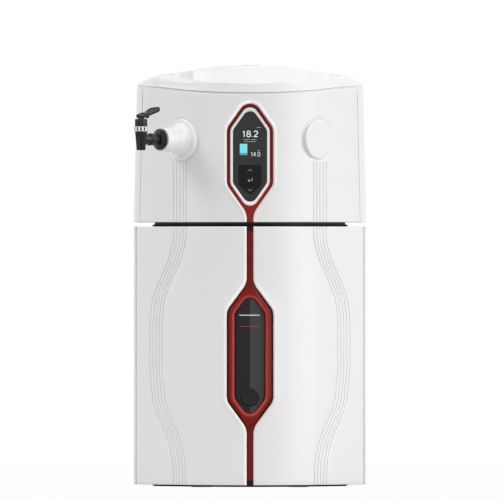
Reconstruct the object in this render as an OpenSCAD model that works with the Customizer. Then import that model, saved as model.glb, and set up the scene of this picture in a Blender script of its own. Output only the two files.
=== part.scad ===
/* [Housings] */
// Width of both housings
body_w = 410; // [390:1:430]
// Depth of the housings from the nose to the back
depth = 376; // [360:1:400]
// Radius of the rounded nose in plan
front_r = 170; // [165:1:175]
// Angle at which the wings leave the nose
wing_angle = 47; // [46:0.5:48]
// Radius in plan where a wing meets a side
corner_r = 40; // [34:1:44]
// Radius of the rear corners in plan
rear_r = 25; // [18:1:40]
// Wall of the doors, the fascia and the lid
wall = 3; // [2.5:0.1:3.2]
// Wall of the side and rear covers
side_wall = 3.5; // [3:0.1:4.5]
// Clearance between pieces that seat in each other
fit = 0.3; // [0.25:0.05:0.4]

/* [Heights] */
// Height of the feet below the plinth
foot_proud = 0.8; // [0.6:0.1:2]
// Height of the plinth
plinth_h = 3.4; // [3:0.1:6]
// Height of the lower housing
lower_h = 454; // [440:1:480]
// Height of the open band between the two housings
band_h = 7.6; // [7:0.1:10]
// Height of the upper housing at its sides
upper_h = 245; // [240:1:270]
// Rise of the lid's crest above the upper housing's sides
lid_rise = 31.5; // [29:0.5:36]
// How far each side of the upper housing leans in over its height
taper = 6; // [3:0.5:9]
// Step-in of the plinth and of the lower docking plate
plinth_inset = 33; // [28:1:38]

/* [Doors] */
// Angle round the front corner at which a door is hinged
hinge_angle = 31; // [26:1:36]
// Radius of the rolled edge that the hinge pins run in
bead_r = 3.6; // [3.4:0.1:4]
// Gap between a rolled edge and the cover behind it
hinge_gap = 1.2; // [1:0.1:1.6]
// Radius of the hinge pins
pin_r = 1.5; // [1.2:0.1:1.8]
// Radial running clearance of every pin
pin_run = 0.06; // [0.04:0.01:0.08]
// Depth of a door's inner edge flange
door_flange = 14; // [8:1:16]
// Gap between a door and the spine
door_gap = 0.6; // [0.5:0.1:1]

/* [Spine] */
// Half width of the red stripe
stripe_half = 5.4; // [4:0.1:7]
// Half width of the lower hexagonal frame
frame_half = 40.3; // [36:0.1:44]
// Width of the lower frame's red border
frame_border = 14; // [12:0.5:17]
// Height above the lower housing's base of the frame's lower apex
frame_low = 93; // [80:1:110]
// Height above the lower housing's base of the frame's upper apex
frame_high = 361; // [340:1:380]
// Rise of the frame's slanting edges over their run
frame_slope = 1.36; // [1.2:0.01:1.5]
// How far the red frame stands proud of the nose
frame_proud = 2.4; // [1.5:0.1:3.5]
// Radius of the release button
button_r = 15.5; // [12:0.5:17]
// Height of the release button above the lower housing's base
button_z = 154; // [148:1:165]
// Travel of the release button
button_travel = 2.5; // [1.5:0.1:3]

/* [Display] */
// Half width of the display's red ring
ring_half = 40.3; // [38:0.1:43]
// Width of the red ring
ring_border = 5.4; // [4:0.1:7]
// Width of the white border inside the ring
white_border = 5.1; // [4:0.1:6]
// Height above the upper housing's base of the ring's lower apex
ring_low = 8; // [4:1:14]
// Distance of the ring's upper apex below the seam at the nose
ring_high = 2; // [1.5:0.5:9]
// Rise of the ring's slanting edges over their run
ring_slope = 1.42; // [1.3:0.01:1.5]
// Half width of the keypad
key_half = 19.8; // [17:0.1:22]
// Height above the upper housing's base of the keypad's top edge
key_top = 100; // [96:1:104]
// Height of each of the two upper keys
key_h = 17.5; // [15:0.5:19]
// Travel of a key
key_travel = 0.6; // [0.4:0.1:0.7]
// Gap round each key
key_gap = 0.35; // [0.3:0.05:0.5]

/* [Ports and tap] */
// Angle of the two ports either side of the nose
port_angle = 45; // [43:1:46]
// Height of the ports above the upper housing's base
port_h = 145; // [135:1:155]
// Radius of the shallow recess round a port
recess_r = 38.5; // [38:0.5:42]
// Radius of the blank plug
blank_r = 33.5; // [28:0.5:35]
// Radius of the tap boss at its flange
boss_flange_r = 36; // [33:0.5:37]
// Radius of the tap boss at its neck
boss_neck_r = 22; // [20:0.5:24]
// Length of the tap boss
boss_len = 52; // [45:1:60]
// Radius of the tap's shank
shank_r = 9; // [8:0.1:9.6]
// Distance of the tap's upright axis from the port
tap_reach = 100; // [94:1:108]
// Radius of the spout at its top
spout_r = 10.6; // [10.2:0.1:12]
// Radius of the spout at its mouth
mouth_r = 7.6; // [7.2:0.1:8.6]
// Height of the spout
spout_h = 33; // [30:1:38]
// Height of the slotted collar
collar_h = 8; // [7:0.5:10]
// Height of the bonnet's round part
bonnet_h = 13.5; // [13:0.5:16]
// Length of the lever from its pivot
lever_len = 44; // [40:1:50]
// Slope of the lever at rest
lever_slope = 22; // [18:1:28]
// Lift of the tap's stem
stem_lift = 3; // [2:0.1:3.2]

/* [Lid] */
// Height of the lid's seam at the nose above the upper housing's base
seam_nose_h = 224; // [218:1:228]
// Slope of the seam from the nose towards the sides
seam_slope = 6.5; // [5:0.1:7]
// Height of the open seam between the lid and the housing
seam_gap = 3.4; // [3:0.1:4]
// Height of the lid's front rim at the nose
rim_h = 17; // [14:1:19]
// Half width of the raised centre block
block_half = 100; // [90:1:108]
// Length of each finger scoop beside the block
scoop_w = 62; // [50:1:66]
// Depth of a scoop below the rim
scoop_drop = 9; // [6:1:10]
// Width of a scoop, from the rim towards the back
scoop_reach = 34; // [26:1:36]

/* [Works] */
// Radius of a purification cartridge
cartridge_r = 42; // [38:1:44]
// Distance of a cartridge's axis from the middle
cartridge_x = 88; // [84:1:92]
// Distance of a cartridge's axis in front of the middle
cartridge_y = 80; // [76:1:82]
// Radius of the water stems on the back
stem_r = 4; // [3:0.5:5]
// Length of the water stems
stem_len = 28; // [20:1:32]

/* [Hidden] */
$fn = 96;

white = "#eef0f1";
off_white = "#dfe2e3";
red = "#8e1f1c";
black = "#1b1b1d";
dark_grey = "#3a3b3d";
steel = "#b9bcc0";

eps = 0.01;
half_w = body_w / 2;
nose_y = -depth / 2;
nose_cy = nose_y + front_r;
back_y = depth / 2;
z_low = foot_proud + plinth_h;
z_low_top = z_low + lower_h;
z_up = z_low_top + band_h;
z_side = z_up + upper_h;
z_crest = z_side + lid_rise;
far = 2 * depth;
seam_nose = z_up + seam_nose_h;
seam_side = max(z_side - seam_gap, seam_nose);
ring_apex_z = seam_nose - ring_high;

tray_inset = side_wall + fit;
tray_floor = 3;
tray_wall = 2.5;
tray_h = 20;
z_floor = z_low + tray_floor;
deck_t = 4;
deck_drop = 0.5;
z_deck = z_low_top - deck_drop - deck_t;
panel_y = 8;
panel_t = 3;

// ---- Outlines and helpers ----

// Centre of the arc between a wing and a side, for an outline of the given inset and width
function corner_centre(inset, w) =
  let (r = max(corner_r - inset, 2), x = w / 2 - inset - r)
  [x, nose_cy + (x * sin(wing_angle) - (front_r - inset - r)) / cos(wing_angle)];

// Plan outline: rounded nose, straight wings, upright sides and rounded rear corners
module plan(inset = 0, w = body_w) {
  nr = front_r - inset;
  r = max(corner_r - inset, 2);
  rr = max(rear_r - inset, 2);
  c = corner_centre(inset, w);
  side = c[0] + r;
  rear = back_y - inset;
  right = [
    [nr * sin(wing_angle), nose_cy - nr * cos(wing_angle)],
    [c[0] + r * sin(wing_angle), c[1] - r * cos(wing_angle)],
    [side, c[1]],
    [side, rear - rr],
    [side - rr, rear],
  ];
  left = [for (i = [len(right) - 1:-1:0]) [-right[i][0], right[i][1]]];
  polygon(concat(right, left));
  translate([0, nose_cy]) circle(nr);
  for (s = [-1, 1]) {
    translate([s * c[0], c[1]]) circle(r);
    translate([s * (side - rr), rear - rr]) circle(rr);
  }
}

module plan_slab(z0, z1, inset = 0, w = body_w) translate([0, 0, z0]) linear_extrude(z1 - z0) plan(inset, w);

// Upright wall that follows the plan between two insets
module plan_wall(z0, z1, inset, t, w = body_w) difference() {
  plan_slab(z0, z1, inset, w);
  plan_slab(z0 - 1, z1 + 1, inset + t, w);
}

// Unit vector, and a corner of an outline rounded to radius r by n chords
function unit(v) = v / norm(v);
function fillet(p0, p1, p2, r, n) =
  let (
    u = unit(p0 - p1),
    v = unit(p2 - p1),
    half = acos(max(-1, min(1, u * v))) / 2,
    c = p1 + unit(u + v) * r / sin(half),
    a = p1 + u * r / tan(half) - c,
    b = p1 + v * r / tan(half) - c
  )
  [for (i = [0:n]) c + unit(a + (b - a) * i / n) * r];

// Outline from [x, y, r] corners
function rounded(pts, n = 8) = [
  for (i = [0:len(pts) - 1])
    let (
      m = len(pts),
      q = [for (k = [-1:1]) let (p = pts[(i + k + m) % m]) [p[0], p[1]]]
    )
    each (pts[i][2] > 0 ? fillet(q[0], q[1], q[2], pts[i][2], n) : [q[1]])
];
function mirrored(pts) = concat(pts, [for (i = [len(pts) - 1:-1:0]) [-pts[i][0], pts[i][1], pts[i][2]]]);

// Front view outline pushed through from y0 to y1
module through_front(y0 = -far, y1 = 0) translate([0, y1, 0]) rotate([90, 0, 0]) linear_extrude(y1 - y0) children();

// Side view outline [y, z] pushed through across the whole width
module through_side(w = far) rotate([90, 0, 90]) linear_extrude(w, center = true) children();

// A front view outline wrapped on to the nose between two radii
module wrapped(r0, r1) intersection() {
  through_front(-far, nose_cy) children();
  translate([0, nose_cy, -1]) difference() {
    cylinder(h = z_crest, r = r1);
    translate([0, 0, -1]) cylinder(h = z_crest + 2, r = r0);
  }
}

// Hexagon with slanting ends: apexes at low and high, half width w, drawn inwards by d
function hexagon(w, low, high, slope, d, r_side, r_end) =
  let (k = sqrt(1 + slope * slope), wi = w - d, lo = low + d * k, hi = high - d * k)
  rounded([
    [0, lo, r_end],
    [wi, lo + slope * wi, r_side],
    [wi, hi - slope * wi, r_side],
    [0, hi, r_end],
    [-wi, hi - slope * wi, r_side],
    [-wi, lo + slope * wi, r_side],
  ]);

flare_r = 34;

// Lower trim outline, drawn outwards by d: stripe, hexagon, stripe
function lower_trim(d = 0) =
  let (
    k = sqrt(1 + frame_slope * frame_slope),
    lo = z_low + frame_low - d * k,
    hi = z_low + frame_high + d * k,
    s = stripe_half + d,
    w = frame_half + d
  )
  rounded(mirrored([
    [s, z_low - 1, 0],
    [s, lo + frame_slope * s, flare_r],
    [w, lo + frame_slope * w, 24 + d],
    [w, hi - frame_slope * w, 24 + d],
    [s, hi - frame_slope * s, flare_r],
    [s, z_low_top + 1, 0],
  ]));
function lower_hexagon(d, r_side, r_end) =
  hexagon(frame_half, z_low + frame_low, z_low + frame_high, frame_slope, d, r_side, r_end);

// Upper trim outline, drawn outwards by d: stripe and closed hexagon
function upper_trim(d = 0) =
  let (
    k = sqrt(1 + ring_slope * ring_slope),
    lo = z_up + ring_low - d * k,
    hi = ring_apex_z + d * k,
    s = stripe_half + d,
    w = ring_half + d
  )
  rounded([
    [s, z_up - 1, 0],
    [s, lo + ring_slope * s, flare_r],
    [w, lo + ring_slope * w, 22 + d],
    [w, hi - ring_slope * w, 22 + d],
    [0, hi, 20 + d],
    [-w, hi - ring_slope * w, 22 + d],
    [-w, lo + ring_slope * w, 22 + d],
    [-s, lo + ring_slope * s, flare_r],
    [-s, z_up - 1, 0],
  ]);
function upper_hexagon(d, r_side, r_end) =
  hexagon(ring_half, z_up + ring_low, ring_apex_z, ring_slope, d, r_side, r_end);

// Area in front of the rays that leave both corner centres at an angle
module front_zone(angle) {
  c = corner_centre(0, body_w);
  tip = c + far * [cos(angle), -sin(angle)];
  polygon([c, tip, [tip[0], -far], [-tip[0], -far], [-tip[0], tip[1]], [-c[0], c[1]]]);
}

hinge_reach = corner_r - bead_r;
hinge_at = corner_centre(0, body_w) + hinge_reach * [cos(hinge_angle), -sin(hinge_angle)];
shell_angle = hinge_angle - asin((bead_r + hinge_gap) / hinge_reach);
hinge_notch_r = bead_r + 1.4;
hinge_lug_r = bead_r - fit;
hinge_pin_len = 15;

module at_hinge(side) translate([side * hinge_at[0], hinge_at[1], 0]) children();

// ---- Lower housing ----

foot_r = 18;
foot_set = 2.2;
foot_places = [[-85, -85], [85, -85], [-140, 125], [140, 125]];

module plinth() color(black) difference() {
  union() {
    plan_slab(foot_proud, z_low, plinth_inset + 2);
    plan_slab(foot_proud + 1.4, z_low, plinth_inset);
  }
  for (p = foot_places) translate([p[0], p[1], 0]) cylinder(h = foot_proud + foot_set, r = foot_r + fit);
}

module rubber_feet() color(dark_grey)
  for (p = foot_places) translate([p[0], p[1], 0]) cylinder(h = foot_proud + foot_set, r = foot_r);

cup_r = cartridge_r + 1;
cup_wall = 3;
cup_floor = z_floor + 10;

// Spill tray with the cartridge cups and the lower hinge lugs moulded in
module base_tray() color(off_white) difference() {
  union() {
    plan_slab(z_low, z_floor, tray_inset);
    plan_wall(z_low, z_low + tray_h, tray_inset, tray_wall);
    for (s = [-1, 1]) {
      at_hinge(s) translate([0, 0, z_low]) cylinder(h = tray_floor, r = hinge_lug_r);
      translate([s * cartridge_x, -cartridge_y, z_floor - 1]) cylinder(h = 34, r = cup_r + cup_wall);
    }
  }
  for (s = [-1, 1]) {
    at_hinge(s) {
      translate([0, 0, z_low + 0.5]) cylinder(h = tray_floor, r = pin_r + pin_run);
      translate([0, 0, z_floor]) cylinder(h = tray_h, r = hinge_notch_r);
    }
    translate([s * cartridge_x, -cartridge_y, cup_floor]) cylinder(h = 34, r = cup_r);
  }
  spine_notch();
}

// Room for the spine in the tray and the deck
module spine_notch() wrapped(spine_back_r - fit, front_r + 10) polygon(lower_trim(fit));

service_w = 250;
service_z0 = z_low + 10;
service_h = 112;
vent_w = 130;

// Side and rear cover of the lower housing
module cabinet_shell() color(white) difference() {
  plan_wall(z_low, z_low_top, 0, side_wall);
  translate([0, 0, z_low - 1]) linear_extrude(lower_h + 2) front_zone(shell_angle);
  translate([-service_w / 2, back_y - 10, service_z0]) cube([service_w, 20, service_h]);
  for (i = [0:7])
    translate([-vent_w / 2, back_y - 10, z_low_top - 120 + 8 * i]) cube([vent_w, 20, 3]);
  for (p = screw_places) translate([p[0], back_y - 10, p[1]]) rotate([-90, 0, 0]) cylinder(h = 20, r = 2.2);
}

screw_places = [for (x = [-150, 150]) for (z = [z_low + 160, z_low_top - 40]) [x, z]];

module cover_screws() color(steel)
  for (p = screw_places) translate([p[0], back_y, p[1]]) rotate([-90, 0, 0]) difference() {
    union() {
      translate([0, 0, -12]) cylinder(h = 12.2, r = 2);
      translate([0, 0, 0.1]) cylinder(h = 1, r = 4);
      translate([0, 0, 1.1]) cylinder(h = 1, r1 = 4, r2 = 2.8);
    }
    translate([0, 0, 0.9]) cylinder(h = 2, r = 1.6, $fn = 6);
  }

// Top deck, which carries the docking plates and the upper hinge lugs
module top_deck() color(off_white) difference() {
  union() {
    plan_slab(z_deck, z_deck + deck_t, tray_inset);
    plan_wall(z_deck - 14, z_deck + 1, tray_inset, tray_wall);
    for (s = [-1, 1]) at_hinge(s) translate([0, 0, z_deck]) cylinder(h = deck_t, r = hinge_lug_r);
  }
  for (s = [-1, 1]) at_hinge(s) {
    translate([0, 0, z_deck - 1]) cylinder(h = deck_t, r = pin_r + pin_run);
    translate([0, 0, z_deck - 20]) cylinder(h = 20, r = hinge_notch_r);
  }
  spine_notch();
}

column_half = 26;
column_front = nose_cy - (front_r - wall - door_flange - 5);
column_t = 3;
column_slots = 3;
column_slot_pitch = 120;
column_slot_h = 60;
column_slot_drop = 103.7;

// Upright channel that ties the spine to the bulkhead, the tray and the deck
module centre_column() color(off_white) difference() {
  translate([-column_half, column_front, z_floor]) cube([2 * column_half, panel_y - column_front, z_deck - z_floor]);
  translate([-column_half + column_t, column_front + column_t, z_floor - 1])
    cube([2 * (column_half - column_t), far, z_deck - z_floor + 2]);
  for (x = [-column_half - 1, column_half - column_t - 1]) for (i = [0:column_slots - 1])
    translate([x, -100, z_deck - column_slot_drop - i * column_slot_pitch]) cube([column_t + 2, 70, column_slot_h]);
}

bulkhead_hole_drop = 29.7;

module bulkhead_panel() color(steel) difference() {
  w = half_w - tray_inset - tray_wall - fit;
  translate([-w, panel_y, z_floor]) cube([2 * w, panel_t, z_deck - z_floor]);
  for (s = [-1, 1]) translate([s * 60, panel_y - 1, z_deck - bulkhead_hole_drop]) rotate([-90, 0, 0])
    cylinder(h = panel_t + 2, r = 6);
}

spine_back_r = front_r - wall - door_flange - 4;
spine_face_r = front_r - wall - 4;
cap_h = 9;

// Red centre moulding: the stripe and the hexagonal frame with its raised lip
module front_spine() color(red) {
  difference() {
    union() {
      wrapped(spine_face_r, front_r + 0.4) spine_outline(0);
      wrapped(front_r, front_r + frame_proud - 1) polygon(lower_hexagon(2, 22, 22));
      wrapped(front_r, front_r + frame_proud) polygon(lower_hexagon(5, 20, 20));
      wrapped(spine_back_r, spine_face_r + 1) intersection() {
        polygon(lower_trim(-2.4));
        spine_outline(0);
      }
    }
    wrapped(front_r - 40, front_r + 10) polygon(lower_hexagon(frame_border, 16, 14));
    behind_column_face();
  }
}

// Everything behind the column's flat front, where the spine and its caps seat
module behind_column_face() translate([-half_w, column_front, 0]) cube([body_w, far, z_low_top]);

module spine_outline(d) intersection() {
  polygon(lower_trim(d));
  translate([-half_w, z_low + cap_h]) square([body_w, lower_h - 2 * cap_h]);
}

// Dark caps that close the two ends of the stripe
module spine_end_caps() color(dark_grey) for (z = [z_low + 0.4, z_low_top - cap_h]) difference() {
  wrapped(spine_back_r, front_r + 0.2) translate([-stripe_half, z]) square([2 * stripe_half, cap_h - 0.4]);
  behind_column_face();
}

crease_drop = 7;
crease_proud = -1.2;
button_y = nose_y - crease_proud - 0.4;
button_back = 9;

// Creased dark panel inside the frame
module spine_panel() color(dark_grey) difference() {
  intersection() {
    through_front(-far, nose_cy) polygon(lower_hexagon(frame_border + fit, 16, 14));
    linear_extrude(z_low_top) polygon([
      [0, nose_y - crease_proud],
      [frame_half, nose_y - crease_proud + crease_drop * frame_half / 27],
      [frame_half, column_front - fit],
      [-frame_half, column_front - fit],
      [-frame_half, nose_y - crease_proud + crease_drop * frame_half / 27],
    ]);
  }
  translate([0, 0, z_low + button_z]) rotate([90, 0, 0]) cylinder(h = far, r = button_r + 0.5);
}

// Push button with a dished face and a skirt
module release_button() color(black) translate([0, button_y, z_low + button_z]) rotate([-90, 0, 0]) difference() {
  union() {
    cylinder(h = 1.2, r1 = button_r - 1.2, r2 = button_r);
    translate([0, 0, 1.2]) cylinder(h = button_back - 1.2, r = button_r);
  }
  translate([0, 0, -70]) sphere(r = 71);
  translate([0, 0, 3]) cylinder(h = button_back, r = button_r - 2.5);
}

// One unbroken coil about +Z
module coil(r, wire, h, turns) {
  steps = 14 * turns;
  sides = 6;
  rings = [for (i = [0:steps]) let (a = 360 * turns * i / steps, z = wire + (h - 2 * wire) * i / steps)
    [for (k = [0:sides - 1]) let (b = 360 * k / sides, q = r + wire * cos(b))
      [q * cos(a), q * sin(a), z + wire * sin(b)]]];
  points = [for (ring = rings) each ring];
  walls = [for (i = [0:steps - 1]) for (k = [0:sides - 1])
    let (n = (k + 1) % sides, a = sides * i, b = sides * (i + 1))
    each [[a + k, a + n, b + n], [a + k, b + n, b + k]]];
  last = sides * steps;
  caps = concat(
    [for (k = [1:sides - 2]) [0, k + 1, k]],
    [for (k = [1:sides - 2]) [last, last + k, last + k + 1]]
  );
  polyhedron(points, concat(walls, caps));
}

spring_front = button_y + 3.2;
module button_spring() color(steel) translate([0, spring_front, z_low + button_z]) rotate([-90, 0, 0])
  coil(8, 0.7, column_front - fit - spring_front, 5);

rib_low = 52.8;
rib_high = 27.7;
door_ribs = [for (i = [0:2]) z_floor + rib_low + i * (z_deck - z_floor - rib_low - rib_high) / 2];

// One door, on the side given: skin, rolled hinge edge, inner edge flange and stiffening ribs
module door(side) color(white) difference() {
  union() {
    intersection() {
      plan_wall(z_low, z_low_top, 0, wall);
      translate([0, 0, z_low]) linear_extrude(lower_h) front_zone(hinge_angle);
      translate([side > 0 ? 0 : -far, -far, 0]) cube([far, far, far]);
    }
    intersection() {
      wrapped(front_r - wall - door_flange, front_r - wall / 2) difference() {
        polygon(lower_trim(door_gap + 3));
        polygon(lower_trim(door_gap));
      }
      translate([side > 0 ? 0 : -far, -far, z_floor + tray_h]) cube([far, far, z_deck - z_floor - tray_h - 20]);
    }
    intersection() {
      wrapped(front_r - 1, front_r + 1) difference() {
        polygon(lower_hexagon(-12, 34, 34));
        polygon(lower_trim(door_gap + 1));
      }
      translate([side > 0 ? 0 : -far, -far, 0]) cube([far, far, far]);
    }
    intersection() {
      for (z = door_ribs) plan_wall(z, z + 2.5, wall - 1, 6);
      translate([0, 0, z_low]) linear_extrude(lower_h) front_zone(hinge_angle + 14);
      translate([side > 0 ? 0 : -far, -far, 0]) cube([far, far, far]);
    }
    at_hinge(side) translate([0, 0, z_floor]) cylinder(h = z_deck - z_floor, r = bead_r);
  }
  through_front(-far, nose_cy) polygon(lower_trim(door_gap));
  at_hinge(side) {
    translate([0, 0, -eps]) cylinder(h = z_floor + 0.4, r = hinge_notch_r);
    translate([0, 0, z_deck - 0.4]) cylinder(h = 20, r = hinge_notch_r);
    translate([0, 0, z_floor]) cylinder(h = hinge_pin_len + 1, r = pin_r + pin_run);
    translate([0, 0, z_deck - hinge_pin_len - 1]) cylinder(h = hinge_pin_len + 2, r = pin_r + pin_run);
  }
}

module left_door() door(-1);
module right_door() door(1);

catch_z = [z_floor + 72.8, z_deck - 53.7];
catch_t = column_front - nose_cy + front_r - wall - door_flange - 0.6;
// Magnets on the column, just behind the doors' inner flanges
module door_catches() color(dark_grey)
  for (s = [-1, 1]) for (z = catch_z)
    translate([s * (stripe_half + door_gap + 4.5), column_front, z]) difference() {
      translate([-5.5, -catch_t, -12]) cube([11, catch_t, 24]);
      rotate([90, 0, 0]) cylinder(h = far, r = 1.8, center = true, $fn = 24);
    }

lid_axis_y = back_y - 7;
lid_z = seam_side + seam_gap;
lid_bead_r = 4;
lid_axis_z = lid_z + lid_bead_r + 0.2;
ear_x = half_w - 49;
ear_t = 6;
ear_notch_r = 6.4;

// Pins of the door hinges and of the lid's hinge
module hinge_pins() color(steel) for (s = [-1, 1]) {
  at_hinge(s) {
    translate([0, 0, z_low + 0.6]) cylinder(h = hinge_pin_len, r = pin_r);
    translate([0, 0, z_deck + 2.8 - hinge_pin_len]) cylinder(h = hinge_pin_len, r = pin_r);
  }
  translate([s * (ear_x + ear_t / 2 - 8), lid_axis_y, lid_axis_z]) rotate([0, 90, 0])
    cylinder(h = 21, r = pin_r, center = true);
}

manifold_z = z_low_top - 55;
neck_r = 19;

// Purification cartridge: ribbed foot, body, shoulder and docking neck
module cartridge(side) color(off_white) translate([side * cartridge_x, -cartridge_y, 0]) difference() {
  rotate_extrude() polygon(rounded([
    [0, cup_floor + fit, 0],
    [cartridge_r - 2, cup_floor + fit, 0],
    [cartridge_r, cup_floor + fit + 2, 0],
    [cartridge_r, manifold_z - 44, 12],
    [neck_r + 6, manifold_z - 28, 6],
    [neck_r + 6, manifold_z - 14, 0],
    [neck_r, manifold_z - 14, 0],
    [neck_r, manifold_z + 12, 0],
    [0, manifold_z + 12, 0],
  ]));
  for (a = [0:30:330]) rotate([0, 0, a]) translate([cartridge_r + 1.2, 0, 70]) cylinder(h = 260, r = 3, $fn = 24);
}

module left_cartridge() cartridge(-1);
module right_cartridge() cartridge(1);

side_unit_room = 10.8;
side_unit_y = -18;
unit_cap_r = panel_y - fit - side_unit_y;
side_unit_x = half_w - side_wall - unit_cap_r - side_unit_room;
hose_r = 4;
hose_bend = 18;
hose_run = 14;
manifold_half = side_unit_x - hose_bend - hose_run;

// Head that both cartridges dock into
module docking_manifold() color(dark_grey) difference() {
  union() {
    translate([-manifold_half, -60, manifold_z + 2]) cube([2 * manifold_half, 60 + panel_y, 20]);
    for (s = [-1, 1]) translate([s * cartridge_x, -cartridge_y, manifold_z - 10])
      cylinder(h = 32, r = neck_r + 9);
  }
  translate([-column_half - fit, -far, 0]) cube([2 * (column_half + fit), far + panel_y + 1, far]);
  for (s = [-1, 1]) translate([s * cartridge_x, -cartridge_y, manifold_z - 11])
    cylinder(h = 24, r = neck_r + fit);
  for (s = [-1, 1]) translate([s * cartridge_x, -cartridge_y, manifold_z - 20])
    cylinder(h = 10 + fit + 10, r = neck_r + 6 + fit);
}

uv_r = 21;
uv_top = manifold_z - 23.2;
uv_foot = z_floor + 62.8;
filter_r = 23;
filter_top = manifold_z - 53.2;
filter_foot = z_floor + 82.8;

module side_unit(side, r, z0, z1) translate([side * side_unit_x, side_unit_y, 0]) {
  translate([0, 0, z0]) cylinder(h = z1 - z0, r = r);
  for (z = [z0, z1 - 16]) translate([0, 0, z]) cylinder(h = 16, r = unit_cap_r);
}

module uv_chamber() color(steel) {
  side_unit(1, uv_r, uv_foot, uv_top);
  translate([side_unit_x, side_unit_y, uv_foot - 30]) cylinder(h = 31, r = 9);
}

module ultrafilter() color(white) side_unit(-1, filter_r, filter_foot, filter_top);

// Elbow in the plane of +X and +Z: comes up, turns towards +X
module elbow(r, bend) translate([bend, 0, 0]) rotate([90, 0, 180]) rotate_extrude(angle = 90)
  translate([bend, 0]) circle(r);

// Hoses from the two side units to the docking manifold, and from the tank to the tap
module water_hoses() color("#d8dde0") {
  top = manifold_z + 12;
  for (s = [-1, 1]) {
    z0 = s > 0 ? uv_top : filter_top;
    mirror([s > 0 ? 1 : 0, 0, 0]) translate([-side_unit_x, side_unit_y, 0]) {
      translate([0, 0, z0]) cylinder(h = top - hose_bend - z0, r = hose_r, $fn = 48);
      translate([0, 0, top - hose_bend]) elbow(hose_r, hose_bend, $fn = 48);
      translate([hose_bend, 0, top]) rotate([0, 90, 0])
        cylinder(h = hose_run, r = hose_r, $fn = 48);
    }
  }
  at_port(-1) translate([0, 0, -tank_gap_s + fit]) cylinder(h = tank_gap_s - shank_in - 2 * fit, r = 7, $fn = 48);
}

pump_x = 95 - half_w;
pump_y = 95;

// Recirculation pump: motor, finned middle and pump head on a foot
module circulation_pump() color(dark_grey) translate([pump_x, pump_y, z_floor]) difference() {
  union() {
    translate([-60, -30, 0]) cube([120, 60, 6]);
    translate([-20, -6, 5]) cube([60, 12, 20]);
    translate([0, 0, 46]) rotate([0, 90, 0]) {
      translate([0, 0, -50]) cylinder(h = 96, r = 34);
      for (i = [0:6]) translate([0, 0, -40 + 10 * i]) cylinder(h = 4, r = 37);
      translate([0, 0, 45]) cylinder(h = 26, r = 28);
      translate([0, 0, 70]) cylinder(h = 12, r = 10);
    }
  }
  for (x = [-52, 52]) for (y = [-22, 22]) translate([x, y, -1]) cylinder(h = 8, r = 2.5, $fn = 24);
}

valve_x = 55 - half_w;
valve_z = z_floor + 182.8;
valve_pitch = 42;

module solenoid_valves() color(black) for (i = [0:2])
  translate([valve_x + valve_pitch * i, panel_y + panel_t, valve_z]) {
    cube([26, 34, 20]);
    translate([13, 17, 19]) cylinder(h = 30, r = 11);
    translate([2, 6, 26]) cube([22, 22, 16]);
  }

supply_room = 10.5;
unit_side_room = 35;

module power_supply() color(steel) {
  size = [150, 55, 150];
  translate([half_w - unit_side_room - size[0], inlet_back - supply_room - size[1], z_floor]) difference() {
    cube(size);
    for (i = [0:9]) translate([12 + 13 * i, -1, size[2] - 50]) cube([5, 3, 40]);
  }
}

board = [190, 1.6, 150];
board_z = z_floor + 192.8;
board_post = 8;

// Board on four posts, with connectors, chips and capacitors
module control_board() color("#2d5d3a")
  translate([half_w - unit_side_room - board[0], panel_y + panel_t, board_z]) {
    translate([0, board_post, 0]) cube(board);
    for (x = [8, board[0] - 8]) for (z = [8, board[2] - 8]) translate([x, 0, z]) rotate([-90, 0, 0])
      cylinder(h = board_post + 0.5, r = 3.5, $fn = 24);
    translate([20, board_post + 1, 0]) {
      for (i = [0:3]) translate([38 * i, 0, 25]) cube([24, 12, 14]);
      for (i = [0:2]) translate([10 + 44 * i, 0, 70]) cube([28, 4, 28]);
      for (i = [0:4]) translate([10 + 30 * i, 0, 125]) rotate([-90, 0, 0]) cylinder(h = 18, r = 7, $fn = 24);
    }
  }

panel_out = back_y - 0.5;
inlet_d = 22;
inlet_back = panel_out - inlet_d;
inlet_x = 70;
inlet_z = service_z0 + 52;
inlet_w = 50;
inlet_h = 74;
fitting_x = [-90, -50, -10];
fitting_z = service_z0 + 52;
upper_fitting_z = z_side - 40;

// Steel panel on the back that carries the connections
module service_panel() color(steel) difference() {
  translate([-service_w / 2 + fit, back_y - side_wall - fit + 0.3, service_z0 + fit])
    cube([service_w - 2 * fit, panel_out - (back_y - side_wall - fit + 0.3), service_h - 2 * fit]);
  for (x = fitting_x) translate([x, 0, fitting_z]) rotate([-90, 0, 0]) cylinder(h = far, r = 7 + fit);
  translate([inlet_x - inlet_w / 2 + 3 - fit, 0, inlet_z - inlet_h / 2 + 3 - fit])
    cube([inlet_w - 6 + 2 * fit, far, inlet_h - 6 + 2 * fit]);
}

// Bulkhead fittings with plain stems: two inlets and a drain below, an overflow above
module water_fitting(out_y) rotate([-90, 0, 0]) {
  translate([0, 0, out_y - 14]) cylinder(h = 15, r = 7);
  translate([0, 0, out_y + 0.1]) cylinder(h = 6, r = 11, $fn = 6);
  translate([0, 0, out_y - 16]) cylinder(h = 6, r = 10, $fn = 6);
  translate([0, 0, out_y + 5]) cylinder(h = 1 + stem_len, r = stem_r);
}

module water_fittings() color(white) {
  for (x = fitting_x) translate([x, 0, fitting_z]) water_fitting(panel_out);
  translate([-120, 0, upper_fitting_z]) water_fitting(back_y);
}

rocker_w = 20;
rocker_h = 24;
rocker_room = 1.8;
rocker_z = inlet_z + 19;
rocker_tilt = 8;
rocker_y = panel_out - 8;
rocker_pin_r = 2;
rocker_pin_l = 1.6;
socket_z = inlet_z - 14;

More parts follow.
